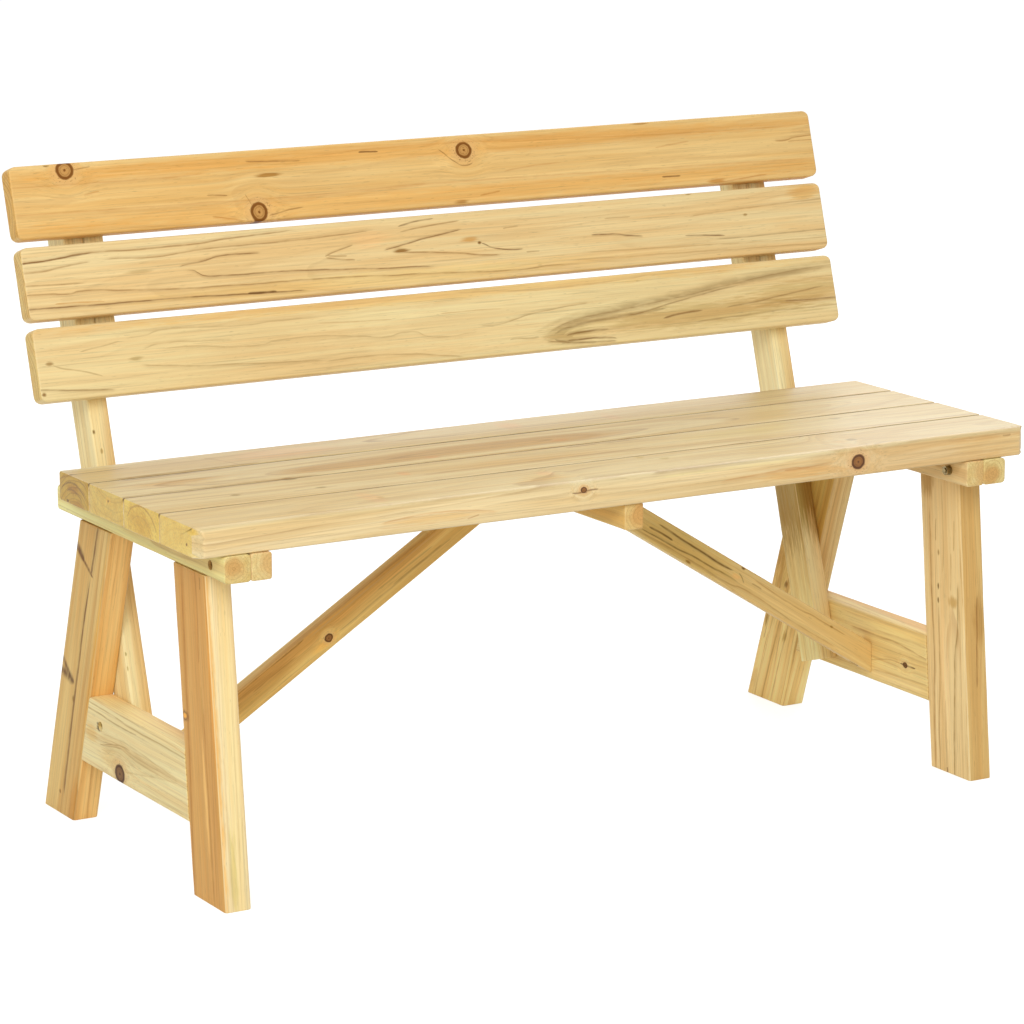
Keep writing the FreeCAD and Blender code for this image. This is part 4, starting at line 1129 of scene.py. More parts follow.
class Softwood:
    """The solid softwood that every timber takes its colours from.

    It is four node groups: the growth rings, a knot, a patch for stains and painted light, and a grain
    line. Each piece of wood then has its own material, which places them in the piece's own
    millimetres. A band is the two values between which a mask rises from nothing to full.
    """

    RINGS = "growth_rings"
    KNOT = "knot"
    STAIN = "stain"
    LINE = "grain_line"

    SWIRLS = Grain(310, 90, 1.0)
    RIPPLES = Grain(75, 22)
    PATCHES = Grain(150, 12)
    DRAWN = Grain(330, 11, 3.0, 0.6)
    BLOTCHES = Grain(240, 45)
    STREAKS = Grain(190, 2.6, 3.0, 0.6)
    FIBRES = Grain(26, 0.55, 2.0, 0.6)
    HAIRS = Grain(130, 1.3, 2.0, 0.6)
    DASHES = Grain(12, 0.9, 0.0)
    SPECKLES = Grain(3.0, 1.4, 3.0, 0.7)
    FRAY = Grain(30, 2.5, 3.0, 0.6)
    WAVER = Grain(38, 38)
    BREAKS = Grain(22, 5)

    SEED_STEPS = (137.0, 71.0)
    RIPPLE_REACH = 3.0
    UNEVEN_REACH = 17
    UNEVEN = 3.0
    LATE_WOOD = ((0.0, 0.0), (0.45, 0.06), (0.72, 0.34), (0.86, 1.0), (0.94, 0.9), (0.985, 0.0))
    LUCK_POWER = 1.4
    BOLD = (0.9, 0.2)
    PATCH_BAND = (0.28, 0.56)
    SAWN_LINE = 0.7
    TONE_REACHES = (12, 700)
    TONE_BAND = (0.38, 0.62)
    HEART_EDGE = (5.0, 7.0)
    HEART_BLOTCH = 30.0
    HAIR_BAND = (0.58, 0.68)
    HAIR_SHADE = -0.16
    DASH_BAND = (0.74, 0.82)
    DASH_SHADE = -0.18
    FIBRE_SHADE = 0.12
    SAWN_SPECKLE = (0.4, -0.24)
    END_TINT = (0.96, 0.88, 0.66, 1.0)
    FIBRE_RELIEF = 0.5
    LINE_RELIEF = -0.35
    STREAK_GLOSS = 0.2

    KNOT_NOISE = 0.13
    KNOT_WOBBLE = 2.4
    KNOT_CORE = (0.85, 1.05)
    KNOT_RINGS = 15.0
    KNOT_RING_BAND = (0.2, 1.0)
    KNOT_RING_SHADE = 0.35
    KNOT_HEART = (0.08, 0.2)
    KNOT_RIM = ((0.6, 0.76), (0.96, 1.14))
    KNOT_GRAINS = (0.4, 0.7, 0.7)
    KNOT_GRAIN_BAND = (0.62, 0.7)
    KNOT_NEAR = (1.4, 2.0)
    KNOT_GRAIN_SHADE = 0.6
    KNOT_HALO = (1.0, 2.3)
    KNOT_BELL = -0.18
    KNOT_PUSH = -0.92
    HALO_SHADE = 0.6
    KNOT_SHADE = 0.92

    STAIN_AND_LIGHT_BAND = (0.3, 1.0)
    FRAY_REACH = 1.3
    LINE_START = (0.0, 0.12)
    LINE_END = (0.85, 1.0)
    LINE_HALF = 0.72
    LINE_TAPER = (0.65, 0.35)
    SHADOW = 0.5
    INSIDE = 3.0
    WAVER_REACH = 2.4
    BREAK_BAND = (0.3, 0.6)
    BREAK_SHADE = (0.5, 0.6)
    GROOVED = 0.75
    GROOVE = 2.0
    GAP_SHADE_SIDE = (1.9, 0.4)
    GAP_SHADE_TOP = (7, 2)
    GAP_SHADE_COLOUR = (100, 66, 28)
    BUMP_STRENGTH = 0.3
    BUMP_HEIGHT = 0.0004

    def prepare(self) -> None:
        """Build the four groups."""
        self.rings()
        self.knot()
        self.stain()
        self.line()

    def rings(self) -> None:
        """Build the growth rings.

        Distance from a wandering pith, divided by the ring spacing, gives the ring and the place
        in it. Each ring darkens slowly to its late wood and drops back at once, and a random
        strength makes some rings plainer. Pale and warm bands follow the rings and the grain, and
        fine streaks and short dark dashes run along it.
        """
        graph, source, sink = new_group(
            self.RINGS,
            {"Vector": "Place Push Pith Drift", "Color": "Pale Warm Line Heartwood",
             "Float": "Seed Spacing Swirl Heart Contrast Streak End Ends Dull"},
            {"Color": "Colour", "Float": "Relief Gloss"},
        )
        place, seed, end = source["Place"], source["Seed"], source["End"]
        along = graph.parts(place)[0]
        shift = graph.combine(*(graph.times(seed, step) for step in self.SEED_STEPS), seed)
        seeded = graph.vector("ADD", place, shift)
        parted = graph.vector("ADD", seeded, source["Push"])
        away = graph.vector("ADD", source["Pith"], graph.scaled(source["Drift"], along))
        away = graph.vector("SUBTRACT", place, away)
        for grain, reach in ((self.SWIRLS, graph.times(source["Swirl"], 2.0)),
                             (self.RIPPLES, self.RIPPLE_REACH)):
            bend = graph.vector("SUBTRACT", graph.grain(seeded, grain, colour=True), MIDDLE)
            away = graph.vector("ADD", away, graph.scaled(bend, reach))
        _, across, out = graph.parts(graph.vector("ADD", away, source["Push"]))
        radius = graph.vector("LENGTH", graph.combine(0.0, across, out), out=1)
        uneven = graph.noise(graph.combine(graph.times(radius, 1 / self.UNEVEN_REACH), seed, 0.0))
        phase = graph.math("ADD", graph.math("DIVIDE", radius, source["Spacing"]),
                           graph.times(uneven, self.UNEVEN))
        late = graph.ramp(graph.math("FRACT", phase), self.LATE_WOOD)
        number = graph.math("ADD", graph.math("FLOOR", phase), seed)
        luck = graph.node("ShaderNodeTexWhiteNoise", {"W": number}, noise_dimensions="1D").outputs["Value"]
        patchy = graph.band(graph.grain(seeded, self.PATCHES), *self.PATCH_BAND)
        bold = graph.times(graph.linear(graph.math("POWER", luck, self.LUCK_POWER), *self.BOLD), patchy)
        dark = graph.times(late, graph.math("MAXIMUM", bold, graph.times(end, self.SAWN_LINE)))

        ringed = graph.combine(graph.times(radius, 1 / self.TONE_REACHES[0]), seed,
                               graph.times(along, 1 / self.TONE_REACHES[1]))
        both = graph.math("ADD", graph.noise(ringed), graph.grain(parted, self.DRAWN))
        tone = graph.band(graph.times(both, 0.5), *self.TONE_BAND)
        base = graph.mix(tone, source["Pale"], source["Warm"])
        blotch = graph.linear(graph.grain(parted, self.BLOTCHES), self.HEART_BLOTCH, -self.HEART_BLOTCH / 2)
        border = graph.math("ADD", source["Heart"], blotch)
        outside = graph.band(radius, graph.math("SUBTRACT", border, self.HEART_EDGE[0]),
                             graph.math("ADD", border, self.HEART_EDGE[1]))
        base = graph.mix(graph.rest(outside), base, source["Heartwood"])
        sawn = graph.math("SUBTRACT", source["Ends"], source["Contrast"])
        depth = graph.linear(end, sawn, source["Contrast"])
        colour = graph.mix(graph.times(dark, depth), base, source["Line"])

        streaks = graph.grain(parted, self.STREAKS)
        fibres = graph.grain(seeded, self.FIBRES)
        hairs = graph.band(graph.grain(parted, self.HAIRS), *self.HAIR_BAND)
        dashes = graph.band(graph.grain(seeded, self.DASHES), *self.DASH_BAND)
        shade = graph.linear(graph.math("SUBTRACT", streaks, 0.5), source["Streak"], 1.0)
        for amount, mask in ((self.HAIR_SHADE, hairs), (self.DASH_SHADE, dashes),
                             (self.FIBRE_SHADE, graph.math("SUBTRACT", fibres, 0.5))):
            shade = graph.times(shade, graph.linear(mask, amount, 1.0))
        sawn = graph.linear(graph.grain(seeded, self.SPECKLES), *self.SAWN_SPECKLE)
        shade = graph.times(shade, graph.linear(sawn, end, 1.0))
        colour = graph.mix(1.0, colour, graph.combine(shade, shade, shade), "MULTIPLY")
        graph.feed(sink["Colour"], graph.mix(end, colour, self.END_TINT, "MULTIPLY"))
        relief = graph.linear(fibres, self.FIBRE_RELIEF, graph.times(dark, self.LINE_RELIEF))
        graph.feed(sink["Relief"], relief)
        graph.feed(sink["Gloss"], graph.linear(streaks, self.STREAK_GLOSS, source["Dull"]))

    def knot(self) -> None:
        """Build a knot: the distance from its axis in half widths gives core, rim and halo.

        The push is what the grain needs to part round it: the place across, times a bell.
        """
        graph, source, sink = new_group(
            self.KNOT,
            {"Vector": "Place Middle Size"},
            {"Vector": "Push", "Float": "Core Rim Halo"},
        )
        place = source["Place"]
        off = graph.vector("SUBTRACT", place, source["Middle"])
        wobble = graph.noise(graph.scaled(place, self.KNOT_NOISE), colour=True)
        wobble = graph.scaled(graph.vector("SUBTRACT", wobble, MIDDLE), self.KNOT_WOBBLE)
        ratio = graph.vector("MULTIPLY", graph.vector("ADD", off, wobble), source["Size"])
        distance = graph.vector("LENGTH", ratio, out=1)
        core = graph.rest(graph.band(distance, *self.KNOT_CORE))
        rings = graph.band(graph.math("SINE", graph.times(distance, self.KNOT_RINGS)), *self.KNOT_RING_BAND)
        rings = graph.times(graph.times(rings, core), self.KNOT_RING_SHADE)
        heart = graph.rest(graph.band(distance, *self.KNOT_HEART))
        inner, outer = (graph.band(distance, *edge) for edge in self.KNOT_RIM)
        edge = graph.times(inner, graph.rest(outer))
        rim = graph.math("MAXIMUM", graph.math("MAXIMUM", rings, edge), heart)
        grains = graph.noise(graph.vector("MULTIPLY", place, self.KNOT_GRAINS), 1.0)
        near = graph.rest(graph.band(distance, *self.KNOT_NEAR))
        specks = graph.times(graph.band(grains, *self.KNOT_GRAIN_BAND), near)
        specks = graph.times(specks, self.KNOT_GRAIN_SHADE)
        bell = graph.math("EXPONENT", graph.times(graph.times(distance, distance), self.KNOT_BELL))
        graph.feed(sink["Core"], core)
        graph.feed(sink["Rim"], graph.math("MAXIMUM", rim, specks))
        graph.feed(sink["Halo"], graph.rest(graph.band(distance, *self.KNOT_HALO)))
        graph.feed(sink["Push"], graph.scaled(off, graph.times(bell, self.KNOT_PUSH)))

    def stain(self) -> None:
        """Build a patch for stains and painted light: an oval that fades out and frays along the grain, kept
        to its face.
        """
        graph, source, sink = new_group(
            self.STAIN,
            {"Vector": "Place Middle Size", "Float": "Fray Face"},
            {"Float": "Mask"},
        )
        off = graph.vector("SUBTRACT", source["Place"], source["Middle"])
        distance = graph.vector("LENGTH", graph.vector("MULTIPLY", off, source["Size"]), out=1)
        mask = graph.rest(graph.band(graph.math("ADD", distance, source["Fray"]), *self.STAIN_AND_LIGHT_BAND))
        graph.feed(sink["Mask"], graph.times(mask, source["Face"]))

    def line(self) -> None:
        """Build a grain line: near enough to a curve across the face, thinner towards its ends.

        On the side that Fade points to, a weaker shadow falls off evenly over that distance.
        """
        graph, source, sink = new_group(
            self.LINE,
            {"Float": "Share Height Rise Low Across Waver Patch Width Fade Face"},
            {"Float": "Mask"},
        )
        middle = graph.linear(source["Height"], source["Rise"], source["Low"])
        gap = graph.math("ADD", graph.math("SUBTRACT", source["Across"], middle), source["Waver"])
        ends = graph.times(graph.band(source["Share"], *self.LINE_START),
                           graph.rest(graph.band(source["Share"], *self.LINE_END)))
        half = graph.times(graph.times(source["Width"], self.LINE_HALF),
                           graph.linear(ends, *self.LINE_TAPER))
        core = graph.rest(graph.band(graph.math("ABSOLUTE", gap), 0.0, half))
        behind = graph.math("DIVIDE", gap, source["Fade"])
        soft = graph.math("MAXIMUM", graph.rest(behind), 0.0)
        soft = graph.times(soft, graph.math("GREATER_THAN", behind, 0.0))
        shown = graph.math("MAXIMUM", core, graph.times(soft, self.SHADOW))
        shown = graph.times(shown, graph.times(source["Patch"], source["Face"]))
        inside = graph.math("MINIMUM", graph.times(ends, self.INSIDE), 1.0)
        graph.feed(sink["Mask"], graph.times(shown, inside))

    def material(self, board: "Board") -> bpy.types.Material:
        """Dress one timber.

        Args:
            board: The piece, whose own frame the pattern follows.

        Returns:
            The material.
        """
        timber, growth, tone = board.timber, board.growth, board.tone
        knots, stains_and_light, lines = (board.marks(kind) for kind in (Knot, Stain, Line))
        made = bpy.data.materials.new(f"{timber.name}_softwood")
        made.use_nodes = True
        graph = Graph(made.node_tree)
        shader = made.node_tree.nodes["Principled BSDF"]
        coordinates = graph.node("ShaderNodeTexCoord", {}).outputs
        local = graph.node("ShaderNodeMapping", {
            "Vector": coordinates["Object"],
            "Location": tuple(value * MM for value in timber.middle),
            "Rotation": tuple(Matrix(timber.axes.tolist()).transposed().to_euler()),
            "Scale": (MM, MM, MM),
        }, vector_type="TEXTURE").outputs[0]
        facing = Facing(graph, coordinates["Normal"], timber.axes)

        push, core, rim, halo = (0.0, 0.0, 0.0), 0.0, 0.0, 0.0
        for knot in knots:
            one = graph.group(self.KNOT, {"Place": local, **self.oval(knot)}).outputs
            push = graph.vector("ADD", push, one["Push"])
            core = graph.math("MAXIMUM", core, one["Core"])
            rim = graph.math("MAXIMUM", rim, one["Rim"])
            halo = graph.math("MAXIMUM", halo, one["Halo"])
        rings = graph.group(self.RINGS, {
            "Place": local, "Push": push, "Seed": float(timber.seed), "Pith": (0.0, *growth.pith),
            "Drift": (0.0, *growth.drift), "Spacing": growth.spacing, "Swirl": growth.swirl,
            "Heart": growth.heart, "Contrast": growth.contrast, "Streak": growth.streak,
            "End": facing.mask(Face.END, 0), "Ends": growth.ends, "Dull": board.finish.dull,
            "Pale": painted(*tone.pale), "Warm": painted(*tone.warm), "Line": painted(*tone.line),
            "Heartwood": painted(*tone.heart),
        }).outputs
        colour, relief = rings["Colour"], rings["Relief"]
        if stains_and_light:
            fray = graph.linear(graph.grain(local, self.FRAY), self.FRAY_REACH, -self.FRAY_REACH / 2)
        # These patches paint real stains, and, where the table marks them so, painted shade, light and
        # reflection.
        for stain in stains_and_light:
            mask = facing.mask(stain.face, stain.side)
            if stain.length < FAR:
                mask = graph.group(self.STAIN, {"Place": local, **self.oval(stain), "Fray": fray,
                                                "Face": mask}).outputs["Mask"]
            if stain.strength < 1:
                mask = graph.times(mask, stain.strength)
            colour = graph.mix(mask, colour, (*stain.colour, 1.0), "MULTIPLY")
        if knots:
            for mask, shade, ink in ((halo, self.HALO_SHADE, tone.halo), (core, self.KNOT_SHADE, tone.knot),
                                     (rim, self.KNOT_SHADE, tone.rim)):
                colour = graph.mix(graph.times(mask, shade), colour, painted(*ink))
        if lines:
            colour, relief = self.draw(graph, lines, local, facing, colour, relief)
        # Painted shade: darken the top arrises beside the gaps between planks, so that the gaps look dark.
        if growth.seam:
            _, across, out = graph.parts(local)
            side = graph.band(graph.math("ABSOLUTE", across),
                              *(timber.width / 2 - inset for inset in self.GAP_SHADE_SIDE))
            top = graph.band(out, *(timber.thickness / 2 - inset for inset in self.GAP_SHADE_TOP))
            seam = graph.times(graph.times(side, top), growth.seam)
            colour = graph.mix(seam, colour, painted(*self.GAP_SHADE_COLOUR))
        bump = graph.node("ShaderNodeBump", {"Height": relief, "Strength": self.BUMP_STRENGTH,
                                             "Distance": self.BUMP_HEIGHT})
        graph.feed(shader.inputs["Base Color"], colour)
        graph.feed(shader.inputs["Roughness"], rings["Gloss"])
        shader.inputs["Specular IOR Level"].default_value = board.finish.shine
        graph.feed(shader.inputs["Normal"], bump.outputs[0])
        return made

    def draw(self, graph: Graph, lines: list[Line], local: Socket, facing: Facing, colour: Socket,
             relief: Socket) -> tuple[Socket, Socket]:
        """Draw grain lines and cracks over a colour; the strong ones have a shallow groove.

        Args:
            graph: The material's graph.
            lines: The lines.
            local: The place in the piece's own frame.
            facing: The masks of the piece's faces.
            colour: The colour without the lines.
            relief: The relief without them.

        Returns:
            The colour and the relief with the lines.
        """
        places = graph.parts(local)
        waver = graph.linear(graph.grain(local, self.WAVER), self.WAVER_REACH, -self.WAVER_REACH / 2)
        patch = graph.band(graph.grain(local, self.BREAKS), *self.BREAK_BAND)
        patch = graph.linear(patch, *self.BREAK_SHADE)
        for mark in lines:
            first, second = mark.face.value[1::-1] if mark.turned else mark.face.value[:2]
            along, height = np.array(sorted(zip(mark.places[::2], mark.places[1::2]))).T
            run, rise = float(np.ptp(along)), max(float(np.ptp(height)), 1.0)
            start, low = float(along.min()), float(height.min())
            share = graph.linear(places[first], 1 / run, -start / run)
            curve = graph.node("ShaderNodeFloatCurve", {"Value": share})
            shape = curve.mapping.curves[0]
            stops = list(zip(((along - start) / run).tolist(), ((height - low) / rise).tolist()))
            shape.points[0].location, shape.points[1].location = stops[0], stops[-1]
            for stop in stops[1:-1]:
                shape.points.new(*stop)
            curve.mapping.update()
            mask = graph.group(self.LINE, {
                "Share": share, "Height": curve.outputs[0], "Rise": rise, "Low": low,
                "Across": places[second], "Waver": waver, "Patch": patch, "Width": mark.width,
                "Fade": mark.fade, "Face": facing.mask(mark.face, mark.side)}).outputs["Mask"]
            mask = graph.times(mask, mark.strength)
            colour = graph.mix(mask, colour, painted(*mark.colour))
            if mark.strength > self.GROOVED:
                relief = graph.math("SUBTRACT", relief, graph.times(mask, self.GROOVE))
        return colour, relief

    @staticmethod
    def oval(mark: Oval) -> dict[str, Triple]:
        """Give the middle and the size of an oval mark in the piece's own frame."""
        return {"Middle": mark.face.spot(mark.along, mark.across),
                "Size": mark.face.spot(1 / mark.length, 1 / mark.width)}


@dataclass(frozen=True)
class ZincSteel:
    """Zinc-plated steel: a bright grey that dulls in soft clouds, so many of them to a metre."""

    name: str
    bolt: bool
    clouds: float = 420.0
    bolt_colour: Triple = (196, 176, 128)
    screw_colour: Triple = (170, 162, 144)
    dull: Triple = (86, 72, 46)
    roughness: tuple[float, float] = (0.3, 0.22)
    bump_strength: float = 0.1
    bump_height: float = 0.0002

    def build(self) -> bpy.types.Material:
        """Build the material and give it back."""
        made = bpy.data.materials.new(self.name)
        made.use_nodes = True
        graph = Graph(made.node_tree)
        shader = made.node_tree.nodes["Principled BSDF"]
        place = graph.node("ShaderNodeTexCoord", {}).outputs["Object"]
        cloud = graph.noise(graph.vector("MULTIPLY", place, (self.clouds,) * 3), 3.0)
        bright = painted(*(self.bolt_colour if self.bolt else self.screw_colour))
        graph.feed(shader.inputs["Base Color"], graph.mix(cloud, bright, painted(*self.dull)))
        graph.feed(shader.inputs["Roughness"], graph.linear(cloud, *self.roughness))
        shader.inputs["Metallic"].default_value = 1.0
        bump = graph.node("ShaderNodeBump", {"Height": cloud, "Strength": self.bump_strength,
                                             "Distance": self.bump_height})
        graph.feed(shader.inputs["Normal"], bump.outputs[0])
        return made


@dataclass(frozen=True)
class Finish:
    """How a surface takes the light: the least roughness, and the strength of its shine."""

    dull: float
    shine: float


SATIN = Finish(0.42, 0.16)
OILED = Finish(0.3, 0.38)


@dataclass(frozen=True)
class Board:
    """A timber together with the wood that it is cut from."""

    timber: Timber
    growth: Growth
    tone: Tone
    finish: Finish = SATIN

    def marks(self, kind: type[Mark]) -> list[Mark]:
        """Give the piece's marks of one kind, each told its face and its side."""
        return [replace(mark, face=face, side=side) for (name, face, side), marks in MARKS.items()
                for mark in marks if name == self.timber.name and isinstance(mark, kind)]


class Joiner:
    """Makes pieces of wood: surface, holes, finish, and their place in the frame."""

    SHARP = math.radians(32)
    TOUCH = 0.3

    def __init__(self, wood: Softwood, fasteners: Fasteners) -> None:
        """Keep the wood, and make every drilling tool once."""
        self.wood = wood
        self.tools = {node: fasteners.tools(node) for node in fasteners.drills}

    def make(self, board: Board) -> bpy.types.Object:
        """Make one piece of wood in place of its node of the frame.

        Args:
            board: The piece.

        Returns:
            The finished object.
        """
        timber = board.timber
        mesh = fill_mesh(timber.name, *TimberSurface(timber).build())
        piece = bpy.data.objects.new(f"{timber.name}_wood", mesh)
        bpy.context.scene.collection.objects.link(piece)
        self.bore(piece, timber)
        piece.data.polygons.foreach_set("use_smooth", np.ones(len(piece.data.polygons), bool))
        piece.data.set_sharp_from_angle(angle=self.SHARP)
        piece.data.materials.clear()
        piece.data.materials.append(self.wood.material(board))
        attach(piece, ROOT)
        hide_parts(timber.name)
        self.compare(piece, timber.name)
        return piece

    def bore(self, piece: bpy.types.Object, timber: Timber) -> None:
        """Cut the holes of the piece's fasteners, leaving out those that don't reach it.

        Args:
            piece: The piece's object, whose mesh is changed.
            timber: The piece.
        """
        low, high = box_mm(timber.name)
        tools = [tool for node in timber.drilled_by for tool in self.tools[node]
                 if np.all(tool[0].max(axis=0) > low) and np.all(tool[0].min(axis=0) < high)]
        if not tools:
            return
        shift = np.cumsum([0] + [len(tool[0]) for tool in tools[:-1]])
        cutter_mesh = fill_mesh(
            "drills",
            np.vstack([tool[0] for tool in tools]),
            np.vstack([tool[1] + start for tool, start in zip(tools, shift)]),
            np.vstack([tool[2] + start for tool, start in zip(tools, shift)]),
        )
        cutter = bpy.data.objects.new("drills", cutter_mesh)
        bpy.context.scene.collection.objects.link(cutter)
        cut = piece.modifiers.new("holes", "BOOLEAN")
        cut.operation = "DIFFERENCE"
        cut.solver = "EXACT"
        cut.object = cutter
        graph = bpy.context.evaluated_depsgraph_get()
        drilled = bpy.data.meshes.new_from_object(piece.evaluated_get(graph))
        piece.modifiers.clear()
        blank = piece.data
        piece.data = drilled
        drilled.name = f"{timber.name}_wood"
        bpy.data.meshes.remove(blank)
        bpy.data.objects.remove(cutter)
        bpy.data.meshes.remove(cutter_mesh)

    def compare(self, piece: bpy.types.Object, node: str) -> None:
        """Report the piece, and warn where it leaves the box of its node.

        Args:
            piece: The finished piece.
            node: The node that it stands for.
        """
        points = np.zeros(len(piece.data.vertices) * 3, np.float32)
        piece.data.vertices.foreach_get("co", points)
        points = points.reshape(-1, 3) / MM
        low, high = box_mm(node)
        over = max(float((low - points.min(axis=0)).max()), float((points.max(axis=0) - high).max()))
        short = max(float((points.min(axis=0) - low).max()), float((high - points.max(axis=0)).max()))
        log.info("%s: %d faces, %.2f mm over, %.2f mm short", node, len(piece.data.polygons), over, short)
        if over > self.TOUCH:
            log.warning("%s leaves its box", node)


def box_mm(node: str) -> tuple[np.ndarray, np.ndarray]:
    """Give the lowest and highest corner of a node of the frame in millimetres."""
    low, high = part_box(node)
    return np.array(low) / MM, np.array(high) / MM


def middle_of(node: str) -> Triple:
    """Give the middle of a node's box."""
    low, high = box_mm(node)
    return tuple(((low + high) / 2).tolist())


def span_of(node: str) -> np.ndarray:
    """Give the three sides of a node's box."""
    low, high = box_mm(node)
    return high - low


@dataclass
class Seat:
    """Four planks on three cleats."""

    arris: float = 2.5
    nose: float = 8.0
    corner_cut: float = 10.0
    cleat_arris: float = 2.5
    end_arris: float = 1.5

    def planks(self) -> list[Board]:
        """Describe the planks, from the front one to the back one."""
        growths = (
            Growth(pith=(-10.0, -60.0), drift=(0.01, 0.03), swirl=9.0, heart=30.0, seam=0.6,
                   contrast=0.5, ends=0.15),
            Growth(pith=(30.0, -48.0), drift=(-0.02, 0.02), spacing=6.5, swirl=12.0, heart=40.0, seam=0.8,
                   contrast=0.5, ends=0.2),
            Growth(pith=(-6.0, 6.0), drift=(0.02, -0.1), spacing=7.0, swirl=14.0, heart=20.0, seam=0.9,
                   contrast=0.5, ends=0.35),
            Growth(pith=(12.0, -40.0), drift=(0.03, 0.01), spacing=5.5, heart=35.0, seam=0.9,
                   contrast=0.6),
        )
        tone = Tone((230, 210, 160), (219, 191, 134), (162, 118, 64), (208, 170, 108), (146, 90, 30),
                    (84, 44, 4), (226, 174, 112))
        boards = []
        for number, growth in enumerate(growths, start=1):
            name = f"seat_plank_{number}"
            span = span_of(name)
            head = ("brace_head_screws",) if number == 3 else ()
            nose, starts, finishes = self.arris, [EndCut(span[0] / 2)], [EndCut(span[0] / 2)]
            if number == 1:
                nose = self.nose
                corner = span[0] / 2 + span[1] / 2 - self.corner_cut
                starts.append(EndCut(corner, -1.0))
                finishes.append(EndCut(corner, 1.0))
            boards.append(Board(
                Timber(name, Slot.SEAT, middle_of(name), (1, 0, 0), (0, 1, 0), span[1], span[2],
                       tuple(starts), tuple(finishes), (self.arris, nose, self.arris, self.arris),
                       self.end_arris, ("seat_screws", *head), seed=10 + number),
                growth, tone, OILED,
            ))
        return boards

    def cleats(self) -> list[Board]:
        """Describe the three cleats under the planks."""
        boards = []
        for seed, word in enumerate(("left", "centre", "right"), start=21):
            name = f"seat_cleat_{word}"
            span = span_of(name)
            more = () if word == "centre" else ("cleat_screws", "frame_bolts")
            cut = (EndCut(span[1] / 2),)
            boards.append(Board(
                Timber(name, Slot.FRAME, middle_of(name), (0, 1, 0), (0, 0, 1), span[2], span[0], cut, cut,
                       (self.cleat_arris,) * 4, self.end_arris, ("seat_screws", *more), seed=seed),
                Growth(pith=(6.0, 14.0), drift=(0.02, 0.01), spacing=4.5, swirl=6.0, heart=12.0, ends=0.45),
                Tone((240, 214, 158), (230, 194, 132), (186, 134, 76), (226, 182, 122)),
            ))
        return boards

    def build(self, joiner: Joiner) -> None:
        """Make the planks and the cleats."""
        for board in self.planks() + self.cleats():
            joiner.make(board)


